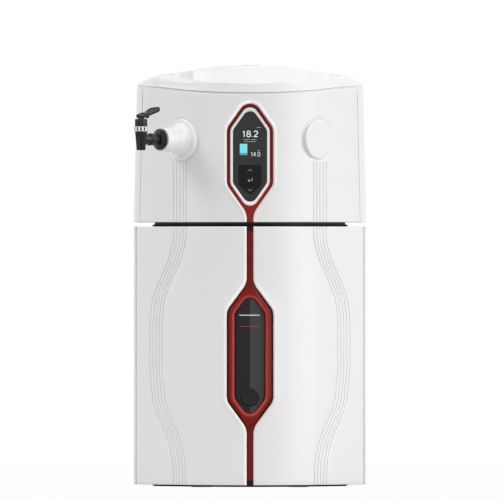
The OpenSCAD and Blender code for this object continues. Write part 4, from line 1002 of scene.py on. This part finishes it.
def build_border():
    """White border between the ring and the glass, with its cross-section as (share, height) pairs."""
    lines = []
    for outline in (RING_INNER, GLASS_LINE):
        half = resample(half_right(outline), 150)
        lines.append(np.vstack([half, (half * (-1, 1))[::-1][1:-1]]))
    outer, inner = lines
    share, lift = np.array(BORDER_SECTION).T
    g = outer + (inner - outer) * share[:, None, None]
    rows = on_nose(g[..., 0], g[..., 1], FRONT_R + lift[:, None])
    behind = np.array((0, 8.0, 0))
    shell = Shell()
    for stack in (rows, (rows[-1], rows[-1] + behind), (rows[0] + behind, rows[0])):
        shell.grid(stack, wrap=True)
    shell.build("white_inner_border", WHITE_TRIM, replaces=["display_border"], sharp=50)


# ---- Marks on the display, the keys and the panel ----
MARK_DEEP, MARK_PROUD, LINE_PROUD = 0.05, 0.12, 0.2
KEY_FACE_R = GLASS_R + 0.3


def strokes(name, lines, width, material, body="housing", r=GLASS_R, proud=MARK_PROUD):
    """Flat strokes printed or lit on a surface of the nose; each line is a list of (x, z)."""
    shell = Shell()
    for line in lines:
        p = np.asarray(line, float)
        d = np.gradient(p, axis=0)
        side = join(-d[:, 1], d[:, 0])
        side *= width / 2 / np.linalg.norm(side, axis=1, keepdims=True)
        x, z = np.moveaxis(np.stack([p + side, p - side], 1), -1, 0)
        front, rear = on_nose(x, z, r + proud), on_nose(x, z, r - MARK_DEEP)
        shell.grid(front)
        shell.wall(front[:, 0], rear[:, 0], flip=True)
        shell.wall(front[:, 1], rear[:, 1])
    shell.build(name, material, body, weld=False)


def patch(name, area, material):
    """Flat filled area on the display."""
    x0, x1, z0, z1 = area
    x = np.linspace(x0, x1, max(int((x1 - x0) / 1.5), 2) + 1)
    z = np.array([[z0], [z1]])
    front, back = on_nose(x, z, GLASS_R + MARK_PROUD), on_nose(x, z, GLASS_R - MARK_DEEP)
    shell = Shell()
    shell.grid(front)
    shell.strip(front[0], back[0])
    shell.strip(front[1], back[1], flip=True)
    shell.wall(front[:, 0], back[:, 0], flip=True)
    shell.wall(front[:, -1], back[:, -1])
    shell.build(name, material)


def arc(cx, cz, rx, rz, a0, a1, n=14):
    return [(cx + rx * math.cos(t), cz + rz * math.sin(t)) for t in np.radians(np.linspace(a0, a1, n))]


GLYPHS = {
    "0": [arc(0.3, 0.5, 0.3, 0.5, 90, 450, 30)],
    "1": [[(0.1, 0.8), (0.3, 0.98)], [(0.3, 1.0), (0.3, 0.0)]],
    "2": [arc(0.3, 0.72, 0.28, 0.28, 165, -35) + [(0.02, 0.03)], [(0.0, 0.03), (0.6, 0.03)]],
    "4": [[(0.45, 0.0), (0.45, 1.0)], [(0.45, 0.98), (0.0, 0.32)], [(0.0, 0.3), (0.62, 0.3)]],
    "8": [arc(0.3, 0.75, 0.24, 0.25, 90, 450, 26), arc(0.3, 0.26, 0.29, 0.26, 90, 450, 28)],
    ".": [[(0.06, 0.0), (0.06, 0.09)]],
}
GLYPH_W, GLYPH_GAP = {".": 0.22, "1": 0.56}, 0.14


def number(name, text, area, width):
    """A number drawn in strokes, fitted into an area."""
    x0, x1, z0, z1 = area
    advance = [GLYPH_W.get(c, 0.62) + GLYPH_GAP for c in text]
    scale = (x1 - x0) / (sum(advance) - GLYPH_GAP)
    lines, x = [], x0
    for c, step in zip(text, advance):
        lines += [[(x + u * scale, z0 + v * (z1 - z0)) for u, v in line] for line in GLYPHS[c]]
        x += step * scale
    strokes(name, lines, width, LIT_WHITE)


READING_MAIN = px_box(242.3, 137.4, 257.8, 131.6)
READING_SECOND = px_box(250.8, 156.8, 260.0, 152.6)
LEVEL_BLOCK = px_box(239.9, 153.4, 247.3, 144.4)
LEVEL_FOOT = px_box(239.9, 155.6, 247.3, 153.7)
# caption bars: left end, right end and height in the layout, and width in millimetres
CAPTIONS = ((243.5, 249.5, 140.2, 1.0), (251.0, 256.5, 140.2, 1.0), (244.5, 255.8, 142.2, 0.8),
            (256.6, 260.8, 128.2, 0.9), (257.2, 259.8, 151.0, 0.9))


def build_screen_marks():
    number("reading_main", "18.2", READING_MAIN, 1.5)
    number("reading_second", "14.0", READING_SECOND, 0.75)
    for i, (left, right, y, width) in enumerate(CAPTIONS):
        bar = [px(x, y) for x in (left, (left + right) / 2, right)]
        strokes("caption_bar_%d" % i, [bar], width, LIT_DIM)
    patch("level_block", LEVEL_BLOCK, LIT_CYAN)
    x0, x1, z0, z1 = LEVEL_BLOCK
    for i in range(4):
        z = z0 + (z1 - z0) * (0.18 + 0.2 * i)
        line = [(x0 + 0.6, z), ((x0 + x1) / 2, z), (x1 - 0.6, z)]
        strokes("level_line_%d" % i, [line], 0.35, LIT_CYAN_DARK, proud=LINE_PROUD)
    patch("level_foot", LEVEL_FOOT, LIT_CYAN_DARK)


ARROW_UP_PX, ARROW_DOWN_PX, ARROW_HALF_PX = 170.6, 190.2, 2.3
ENTER_BEND = [px(252.2, 178.2), px(252.2, 180.9), px(248.4, 180.9)]
ENTER_HEAD = [px(249.5, 179.6), px(248.0, 180.9), px(249.5, 182.2)]


def build_key_marks():
    for key, y, rise in (("key_up", ARROW_UP_PX, 1.0), ("key_down", ARROW_DOWN_PX, -1.0)):
        arrow = [px(MIDDLE_PX + i * ARROW_HALF_PX, y + abs(i) * 2 * rise - rise) for i in (-1, 0, 1)]
        strokes(key + "_mark", [arrow], 0.7, KEY_INK, key, KEY_FACE_R)
    strokes("key_enter_mark", [ENTER_BEND, ENTER_HEAD], 0.6, INK_WHITE, "key_enter", KEY_FACE_R)


PANEL_Y, PANEL_FALL = NOSE_Y + 1.2, 7.0 / 27


def build_panel_lines():
    """Two lines printed across the creased panel inside the lower frame."""
    for name, x0, x1, z, width, ink in (("panel_line_white", -19.0, 17.4, 302.6, 1.7, INK_WHITE),
                                        ("panel_line_red", -18.6, 17.2, 282.9, 1.2, INK_RED)):
        x = np.array([x0, x0 / 2, 0, x1 / 2, x1])
        plan = join(x, PANEL_Y + PANEL_FALL * np.abs(x) - 0.15)
        g = np.stack([raised(plan, z - width / 2), raised(plan, z + width / 2)])
        back = g + (0, 0.1, 0)
        shell = Shell()
        shell.grid(g)
        shell.strip(back[0], g[0])
        shell.strip(g[1], back[1])
        shell.build(name, ink)


# ---- Ports and tap ----
TAP_REACH, TAP_UP = 100.0, 14.0
FLUTES, FLUTE_DEEP = 16, 1.3
SLOTS, SLOT_DEEP, COLLAR_R = 12, 1.6, 13.0
SPOUT_H, SPOUT_TOP_R, SPOUT_TIP_R = 33.0, 10.6, 7.6
LEVER_PIVOT_Z, LUG_R, LUG_HALF, LUG_BEVEL, LUG_FOOT_Z = 26.9, 3.1, 5.0, 0.6, 20.5
SPRING_WIRE = 0.7


def turned(name, profile, m, material, node=None, segments=128, closed=True, sharp=32, shape=None,
           body="housing"):
    """Body of revolution in the frame m; shape may change the radius by height and angle."""
    p = np.asarray(profile, float)
    if closed:
        p = np.vstack([p, p[:1]])
    a = np.linspace(0, 2 * math.pi, segments, endpoint=False)
    r, h = p.T[..., None]
    if shape:
        r = shape(r, h, a)
    shell = Shell()
    shell.grid(placed(join(r * np.cos(a), r * np.sin(a), h), m), wrap=True)
    shell.build(name, material, body, [node] if node else (), sharp)


def tap_frame(z=0.0):
    """Tap frame: +Z up its axis from the spout's top, +X back towards the housing."""
    m = np.eye(4)
    a = math.sqrt(0.5)
    m[:3, 0], m[:3, 1] = (a, a, 0), (-a, a, 0)
    m[:3, 3] = placed(np.array((0, TAP_UP + z, TAP_REACH)), port_frame(-1))
    return m


def build_blank():
    profile = rounded([(0, -6, 0), (33.5, -6, 0), (33.5, 2.6, 1.2), (31.0, 3.3, 1.0), (0, 3.5, 0)], 10)
    turned("blank_plug", profile, port_frame(1), WHITE, "port_blank", sharp=40)


def build_boss():
    boss = rounded([(9.3, -6, 0), (36, -6, 0), (36, 4.6, 2.2), (33.0, 4.8, 1.6), (29.5, 4.2, 2.0),
                    (22, 16, 22), (21, 52, 1.5), (9.3, 52, 0)], 12)
    turned("boss_trumpet", boss, port_frame(-1), WHITE_TRIM, "tap_boss", sharp=50)
    nut = rounded([(9.1, 52.2, 0), (17.6, 52.2, 0.5), (18.6, 53.2, 0.5), (18.6, 55.6, 1.4),
                   (16.4, 56.0, 0.5), (11.4, 60.2, 1.2), (9.1, 60.2, 0)], 8)
    turned("flange_nut_dish", nut, port_frame(-1), BLACK_GLOSS, "tap_flange_nut", sharp=40)


def build_tap_body():
    shank = rounded([(0, -24, 0), (9, -24, 0.6), (9, 68, 1.0), (10.8, 68.4, 1.6), (10.8, 81.6, 1.6),
                     (9, 82, 1.0), (9, 84, 1.5), (7, 98, 0), (0, 98, 0)], 8)
    turned("tap_shank", shank, port_frame(-1), BLACK_GLOSS, "tap_body", closed=False)
    heights = [*np.linspace(-32.4, -4.6, 30), -4.3, -4.0, -3.6, -3.0, -2.6]
    cone = [(SPOUT_TOP_R + (SPOUT_TOP_R - SPOUT_TIP_R) * h / SPOUT_H, h) for h in heights]
    profile = [(4.6, -20), (4.6, -33), (7.0, -33), *cone, (11.0, -2.3), (11.0, -0.4), (10.7, 0), (6.6, 0),
               (6.6, -20)]

    def fluted(r, h, a):
        scallop = np.abs(np.cos(math.pi * ((a * FLUTES / (2 * math.pi)) % 1.0 - 0.5)))
        return r - FLUTE_DEEP * scallop * smooth(-h, 3.6, 4.8) * (r > 6.9)

    turned("spout_fluted", profile, tap_frame(), BLACK_GLOSS, segments=FLUTES * 14, shape=fluted, sharp=45)


def build_collar():
    heights = [0.5, *np.linspace(0.9, 1.3, 4), *np.linspace(2.0, 6.3, 5), *np.linspace(7.0, 7.4, 4), 7.8]
    bevel_r = COLLAR_R - 0.35
    profile = [(6.6, 0.2), (bevel_r, 0.2), *((COLLAR_R, h) for h in heights), (bevel_r, 8.2), (6.6, 8.2)]

    def slotted(r, h, a):
        off = np.abs((a * SLOTS / (2 * math.pi)) % 1.0 - 0.5) * 2 * math.pi * COLLAR_R / SLOTS
        cut = (1 - smooth(off, 1.35, 1.6)) * smooth(h, 0.9, 1.3) * (1 - smooth(h, 7.0, 7.4))
        return r - SLOT_DEEP * cut * (r > 12)

    turned("collar_slotted", profile, tap_frame(), WHITE_TRIM, "tap_collar", SLOTS * 20, shape=slotted,
           sharp=45)
    # black ring seen through the slots, so their floors show dark: partly the tap's black body beneath them,
    # partly painted shade in the slots
    core = [(11.2, 1.0), (11.75, 1.0), (11.75, 7.3), (11.2, 7.3)]
    turned("collar_core", core, tap_frame(), BLACK, segments=96)


def build_bonnet():
    cap = rounded([(2.4, 0, 0), (11, 0, 0.4), (11, 12.0, 1.2), (9.5, 13.5, 0.8), (2.4, 13.5, 0)], 6)
    turned("bonnet_cap", cap, tap_frame(8.4), BLACK_GLOSS, "tap_bonnet")
    a = np.linspace(0, math.pi, 25)
    loops = []
    for y, inset in ((-LUG_HALF, LUG_BEVEL), (LUG_BEVEL - LUG_HALF, 0), (LUG_HALF - LUG_BEVEL, 0),
                     (LUG_HALF, LUG_BEVEL)):
        r = LUG_R - inset
        x, z = np.r_[r, r * np.cos(a), -r], np.r_[LUG_FOOT_Z, LEVER_PIVOT_Z + r * np.sin(a), LUG_FOOT_Z]
        loops.append(join(x, y, z))
    lug = placed(np.array(loops), tap_frame())
    shell = Shell()
    shell.grid(lug, flip=True)
    shell.caps(lug)
    shell.build("bonnet_lug", BLACK_GLOSS, sharp=35)


def build_spring(name, node, along, turns):
    """Coil in a spring node's place, wound along one axis from its near end."""
    lo, hi = (np.array(c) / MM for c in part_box(node))
    u, w = np.array((1.0, 0, 0)), np.eye(3)[along]
    v = np.cross(w, u)
    centre = (lo + hi) / 2
    centre[along] = lo[along]
    radius, length = (hi[0] - lo[0]) / 2 - SPRING_WIRE, hi[along] - lo[along]
    t = np.linspace(0, 1, 24 * turns + 1)[:, None]
    a, b = 2 * math.pi * turns * t, np.linspace(0, 2 * math.pi, 10, endpoint=False)
    out = (radius + SPRING_WIRE * np.cos(b))[:, None]
    height = (SPRING_WIRE * (1 + np.sin(b)) + (length - 2 * SPRING_WIRE) * t)[..., None]
    loops = centre + out * (np.cos(a)[..., None] * u + np.sin(a)[..., None] * v) + height * w
    shell = Shell()
    shell.grid(loops, wrap=True, flip=True)
    shell.caps(loops)
    coil = shell.build(name, STEEL, replaces=[node], sharp=60)
    anchor = centre.copy()
    anchor[along] = hi[along]
    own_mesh(coil)


# ---- Tap lever ----
LEVER_SLOPE = math.radians(22)
LEVER_START, LEVER_TIP_AT, LEVER_TIP = 6.2, 34.0, 11.0
LEVER_EDGE_R, LEVER_DISH = 3.4, 3.4
LEVER_AT = (6, 11, 16.6, 22, 28.7, 34, 38.7, 45)
LEVER_MIDDLE = (-0.4, -1.2, -2.0, -2.0, -1.9, -2.2, -2.6, -3.0)
LEVER_THICK = (3.6, 4.2, 4.2, 4.0, 4.4, 4.6, 4.2, 3.2)
CHEEK_R = 3.4
CHEEK_HEEL = ((1.6, -3.6), (4.4, -5.9), (7.2, -7.2), (9.4, -7.0), (10.8, -5.2), (11.6, -2.6), (11.0, -0.4),
              (8.0, 2.2))


def lever_curve(x, values):
    """Smooth curve through values along the lever, by passing a narrow window over straight runs."""
    return sum(np.interp(x + d, LEVER_AT, values) for d in np.linspace(-2.5, 2.5, 11)) / 11


def lever_place(points):
    """From the lever's own frame, along its length, to the world."""
    x, y, z = np.moveaxis(np.asarray(points, float), -1, 0)
    c, s = math.cos(LEVER_SLOPE), math.sin(LEVER_SLOPE)
    return placed(join(x * c - z * s, y, x * s + z * c), tap_frame(LEVER_PIVOT_Z))


def lever_spoon():
    """Top and bottom of the lever's dished blade."""
    tip_turn = np.linspace(0, math.pi / 2, 16)[1:]
    xs = np.r_[np.linspace(LEVER_START, LEVER_TIP_AT, 30), LEVER_TIP_AT + LEVER_TIP * np.sin(tip_turn)]
    half = 9.0 - 1.2 * smooth(xs, 6, 13) + 2.3 * smooth(xs, 15, 32)
    past = np.maximum(xs - LEVER_TIP_AT, 0) / LEVER_TIP
    half = (half * np.sqrt(np.clip(1 - past ** 2, 0, 1)))[:, None]
    middle, thick = lever_curve(xs, LEVER_MIDDLE)[:, None], lever_curve(xs, LEVER_THICK)[:, None]
    xs = xs[:, None]
    y = half * np.sin(np.linspace(-math.pi / 2, math.pi / 2, 29))
    edge = np.minimum(half - np.abs(y), (LEVER_TIP_AT + LEVER_TIP - xs) * 1.1)
    r = np.minimum(thick, LEVER_EDGE_R)
    body = (thick - r * quarter_round(edge, r)) * (edge >= 0.02)
    dish = LEVER_DISH * smooth(edge, 1.2, 5.6) * smooth(xs, 10, 24)
    return join(xs, y, middle + body - dish), join(xs, y, middle - body)


def lever_cheek(side):
    """Loops of the cheek beside the lug, round the pivot and down to its heel."""
    t = np.linspace(math.radians(78), math.radians(282), 30)
    outline = np.vstack([CHEEK_R * join(np.cos(t), np.sin(t)), CHEEK_HEEL])
    centre = outline.mean(0)
    loops = []
    for y, size in ((5.35, 0.94), (5.7, 1.0), (8.6, 1.0), (9.1, 0.93)):
        x, z = (centre + (outline - centre) * size).T
        loops.append(join(x, y * side, z))
    return lever_place(loops)


def build_lever():
    top, bottom = (lever_place(face) for face in lever_spoon())
    shell = Shell()
    shell.grid(top, flip=True)
    shell.grid(bottom)
    shell.strip(bottom[0], top[0])
    shell.wall(bottom[:, 0], top[:, 0], flip=True)
    shell.wall(bottom[:, -1], top[:, -1])
    for side in (-1, 1):
        cheek = lever_cheek(side)
        shell.grid(cheek, wrap=True, flip=side < 0)
        shell.caps(cheek, flip=side > 0)
    shell.build("lever_spoon", BLACK_GLOSS, "tap_lever", ["tap_lever"])


# ---- Lid ----
RIM_TOP = ((0, 709.6), (37, 710.8), (74, 713.7), (100.5, 716.7), (118, 718.4), (151.7, 721.9), (162, 720),
           (176, 713.6), (199, 710))
CREST = ((0, 741.5), (35.3, 741.2), (58.2, 740.3), (74, 737), (100.5, 732.5), (162.2, 725.2), (190, 715.5),
         (199, 711.4))
LID_CURVE_WINDOW = 18
LID_WALL = 3.0
LID_EDGE = 3.0
RIM_ROUND_E, RIM_ROUND_Z = 11.0, 13.5
BLOCK_HALF = 100.0
SCOOP_W, SCOOP_IN, SCOOP_OUT = 62.0, 11.0, 38.5
SCOOP_END = BLOCK_HALF + SCOOP_W
EAR_AT, EAR_HALF = 159.0, 3.6
HINGE_BEAD_R, HINGE_BEAD_HALF = 4.0, 155.4
LID_PATH, LID_NORMAL, _ = plan_path(LID_W, step=1.2)
# rows of the lid's grid: distances behind its front boundary, then shares of the way to the rear one
LID_FRONT_ROWS = np.array([0, 0.2, 0.5, 0.9, 1.3, 1.6, 2.0, 2.5, 3.1, 4, 5.2, 6.5, 8, 9.5, 10.6, 11.6, 12.6,
                           14, 16, 19, 23, 27, 30, 32, 33.5, 35, 36.5, 39, 43])
LID_BACK_ROWS = np.array([*np.linspace(0, 0.9, 19)[1:], 0.94, 0.965, 0.98, 0.99, 0.996, 1.0])


def lid_slope(ax, y, e, rim, crest):
    """Rise of the lid from its rim to its crest, at a distance e inside the outline."""
    front = smooth(-y, -70, -20)
    steep = np.where(ax < BLOCK_HALF + 2, 32 / 21, 2.2)
    front_slope = rim + np.maximum(e - LID_EDGE, 0) * steep
    side_slope = SEAM_SIDE + SEAM_GAP + 1 + np.maximum(e - 1, 0) * 2.2
    back = Z_CREST - 0.8 - 0.07 * np.maximum(y + 20, 0)
    return soft_min(soft_min(front_slope * front + side_slope * (1 - front), crest, 2.4), back, 3.0)


def lid_height(x, y, e):
    """Height of the lid's top at a place whose distance from the outline is e."""
    ax = np.abs(x)
    crest = smooth_curve(ax, CREST, LID_CURVE_WINDOW, mirrored=True)
    rim = np.minimum(smooth_curve(ax, RIM_TOP, LID_CURVE_WINDOW, mirrored=True), crest - 0.4)
    h = lid_slope(ax, y, e, rim, crest)
    beside_block = smooth(ax, BLOCK_HALF - 0.3, BLOCK_HALF + 0.3) * (y < 0)
    on_rim = (ax > BLOCK_HALF) & (ax < SCOOP_END) & (e < SCOOP_IN + 1.6)
    keep = beside_block * (1 - smooth(ax, SCOOP_END - 10, SCOOP_END))
    h += keep * (np.where(on_rim, np.minimum(h, rim + 0.6), h) - h)
    h -= RIM_ROUND_Z * quarter_round(e - LID_EDGE, RIM_ROUND_E) * smooth(ax, 50, 115) * smooth(-y, -40, 20)
    reach = SCOOP_IN + (SCOOP_OUT - SCOOP_IN) * (1 - np.clip((ax - BLOCK_HALF) / SCOOP_W, 0, 1) ** 2.4)
    scoop = beside_block * (1 - smooth(ax, SCOOP_END - 6, SCOOP_END))
    scoop = scoop * smooth(e, SCOOP_IN - 0.2, SCOOP_IN + 1.6) * (1 - smooth(e, reach - 3.5, reach))
    floor = np.minimum(seam_z(y) + 11.4, rim - 2)
    return h * (1 - scoop) + np.minimum(h, floor) * scoop


def lid_columns():
    """Columns of the lid: even, denser at the block's and the scoops' ends, the ears and the sides."""
    at = set(np.round(np.linspace(-196, 196, 99), 3))
    fine = (-3, -1.6, -0.8, -0.35, 0, 0.35, 0.8, 1.6, 3)
    for c in (BLOCK_HALF, SCOOP_END - 3):
        at = {v for v in at if abs(abs(v) - c) > 3.3}
        at |= {round(side * (c + f), 3) for f in fine for side in (-1, 1)}
    ears = {EAR_AT + d for d in (-EAR_HALF - 0.25, -EAR_HALF, EAR_HALF, EAR_HALF + 0.25)}
    at |= {round(side * v, 3) for v in ears | {189.5, 193, 194.6, 195.5} for side in (-1, 1)}
    return np.array(sorted(at))


def boundary_y(x):
    """Front and rear boundary of the lid's top, inside its rolled edge."""
    p, _, _ = plan_path(LID_W, LID_EDGE, 0.8)
    turn = np.argmax(p[:, 0] > p[:, 0].max() - 0.001)
    return (np.interp(np.abs(x), *half.T) for half in (p[:turn + 1], p[turn:][::-1]))


def build_lid():
    xs = lid_columns()
    front, back = boundary_y(xs)
    per_row = np.clip(np.sqrt(1 + np.gradient(front, xs) ** 2), 1, 2.4)
    y = front + LID_FRONT_ROWS[:, None] * per_row
    held = front + 0.72 * (back - front) - np.linspace(1.2, 0, len(y))[:, None]
    y = np.minimum(y, held)
    y = np.vstack([y, y[-1] + (back - y[-1]) * LID_BACK_ROWS[:, None]])
    z = np.minimum(lid_height(xs, y, distance(join(np.abs(xs), y), LID_PATH)), Z_CREST - 0.75)
    top = join(xs, y, z)
    inner = join(xs * (1 - LID_WALL / 196), np.clip(y, front + 3.2, back - 3.2), z - LID_WALL)
    shell = Shell()
    shell.grid(top)
    shell.grid(inner, flip=True)
    skirt(shell, top[0], inner[0])
    skirt(shell, top[-1], inner[-1], flip=True, rear=True)
    skirt(shell, top[:, 0], inner[:, 0], flip=True)
    skirt(shell, top[:, -1], inner[:, -1])
    shell.build("lid_skin", LID_WHITE, "lid", ["lid"], sharp=34)


def build_hinge_bead():
    """Bar along the lid's rear edge, about its hinge axis."""
    m = np.array(Matrix.Translation((0, LID_AXIS_Y, LID_AXIS_Z)) @ Matrix.Rotation(math.pi / 2, 4, "Y"))
    r, half = HINGE_BEAD_R, HINGE_BEAD_HALF
    profile = [(0, -half), (r, -half), (r, half), (0, half)]
    turned("lid_hinge_bead", profile, m, LID_WHITE, segments=40, closed=False, sharp=40, body="lid")


def skirt(shell, top, inner, flip=False, rear=False):
    """Rolled edge of the lid from its top down to the seam, and the inner side of that wall."""
    side, ax = np.sign(top[:, 0]), np.abs(top[:, 0])
    y, zt = top[:, 1], top[:, 2]
    low_x, low_y = outward(ax, y, LID_EDGE)
    bottom = seam_z(low_y) + SEAM_GAP
    if rear:
        bottom = np.where(np.abs(ax - EAR_AT) <= EAR_HALF + 0.01, LID_AXIS_Z + 3, bottom)
    r = np.minimum(1.5, np.maximum(zt - bottom, 0.6) * 0.45)
    share_out = r * 0.8 / LID_EDGE
    steps = [(share_out * math.sin(a), zt - r * (1 - math.cos(a)))
             for a in np.array((0, 0.3, 0.6, 0.85, 1.0)) * math.pi / 2]
    steps += [(share_out + (1 - share_out) * q, zt - r + (bottom - zt + r) * q)
              for q in (0.35, 0.7, 0.94, 1.0)]
    rows = [join(side * (ax + (low_x - ax) * k), y + (low_y - y) * k, z) for k, z in steps]
    foot = rows[-1] + (inner - rows[-1]) * (0.6, 0.6, 0)
    shell.grid([*rows, foot, inner], flip=flip)


def outward(ax, y, by):
    """Points moved out of the lid's plan by a distance."""
    q = join(ax, y)
    nearest = np.linalg.norm(q[:, None, :] - LID_PATH[None, :, :], axis=2).argmin(1)
    n = LID_NORMAL[nearest]
    gap = ((LID_PATH[nearest] - q) * n).sum(1)
    return (q + n * np.minimum(gap, by + 0.2)[:, None]).T


# ---- Stage ----
FLOOR_HALF_M = 3.0
FLOOR_WHITE = 0.94
WORLD_LIGHT = 0.52
# name, azimuth, elevation, strength and angle of each lamp
LAMPS = (("key_light", 66, 24, 1.5, 60), ("left_light", -78, 42, 1.07, 22), ("top_light", -10, 70, 0.42, 40))
CAMERA_AT_M = (0, -30, 0.4169)
CAMERA_LENS = 1224.0


def link_object(name, data):
    obj = bpy.data.objects.new(name, data)
    bpy.context.scene.collection.objects.link(obj)
    return obj


def soft_sun(name, azimuth, elevation, strength, angle):
    """Broad distant light; azimuth 0 shines from the front, 90 from the right."""
    data = bpy.data.lights.new(name, "SUN")
    data.energy, data.angle = strength, math.radians(angle)
    az, el = math.radians(azimuth), math.radians(elevation)
    to_light = Vector((math.sin(az) * math.cos(el), -math.cos(az) * math.cos(el), math.sin(el)))
    link_object(name, data).rotation_euler = to_light.to_track_quat("Z", "Y").to_euler()


def build_floor():
    """White for the camera, grey for everything else."""
    material, tree, shader, _ = new_material("floor")
    set_inputs(shader, {"Base Color": (0.66, 0.66, 0.66, 1), "Roughness": 0.9})
    seen = add_node(tree, "LightPath").outputs["Is Camera Ray"]
    share = add_node(tree, "Math", {0: seen, 1: FLOOR_WHITE}, operation="MULTIPLY").outputs[0]
    glow = add_node(tree, "Emission", {"Color": (1, 1, 1, 1)}).outputs[0]
    mix = add_node(tree, "MixShader", {"Fac": share, 1: shader.outputs[0], 2: glow})
    set_inputs(tree.nodes["Material Output"], {"Surface": mix.outputs[0]})
    mesh = bpy.data.meshes.new("floor")
    h = FLOOR_HALF_M
    mesh.from_pydata([(-h, -h, 0), (h, -h, 0), (h, h, 0), (-h, h, 0)], [], [(0, 1, 2, 3)])
    mesh.materials.append(material)
    return link_object("floor", mesh)


def build_world():
    """White for the camera, for reflections and through clear pieces, softer as a light."""
    world = bpy.data.worlds.new("studio")
    bpy.context.scene.world = world
    world.use_nodes = True
    tree = world.node_tree
    rays = add_node(tree, "LightPath").outputs
    seen = rays["Is Camera Ray"]
    for ray in ("Is Transmission Ray", "Is Glossy Ray"):
        seen = add_node(tree, "Math", {0: seen, 1: rays[ray]}, operation="MAXIMUM").outputs[0]
    mix = add_node(tree, "Mix", data_type="RGBA")
    light = (WORLD_LIGHT, WORLD_LIGHT, WORLD_LIGHT, 1)
    set_inputs(mix, {"Factor": seen, "A": light, "B": (1, 1, 1, 1)})
    set_inputs(tree.nodes["Background"], {"Color": mix.outputs["Result"], "Strength": 1.0})


def build_camera():
    data = bpy.data.cameras.new("camera")
    data.lens, data.sensor_width, data.clip_end = CAMERA_LENS, 36.0, 60.0
    camera = link_object("camera", data)
    camera.location = CAMERA_AT_M
    camera.rotation_euler = (math.pi / 2, 0, 0)
    bpy.context.scene.camera = camera


def build_stage():
    build_floor()
    for lamp in LAMPS:
        soft_sun(*lamp)
    build_world()
    build_camera()
    bpy.context.scene.view_settings.view_transform = "Standard"


dress_nodes()
build_doors()
build_spine()
build_fascia()
build_fascia_lip()
build_ring()
build_border()
build_screen_marks()
build_key_marks()
build_panel_lines()
build_blank()
build_boss()
build_tap_body()
build_collar()
build_bonnet()
build_lever()
build_spring("tap_coil", "tap_spring", 2, 6)
build_spring("button_coil", "button_spring", 1, 5)
build_lid()
build_hinge_bead()
build_stage()
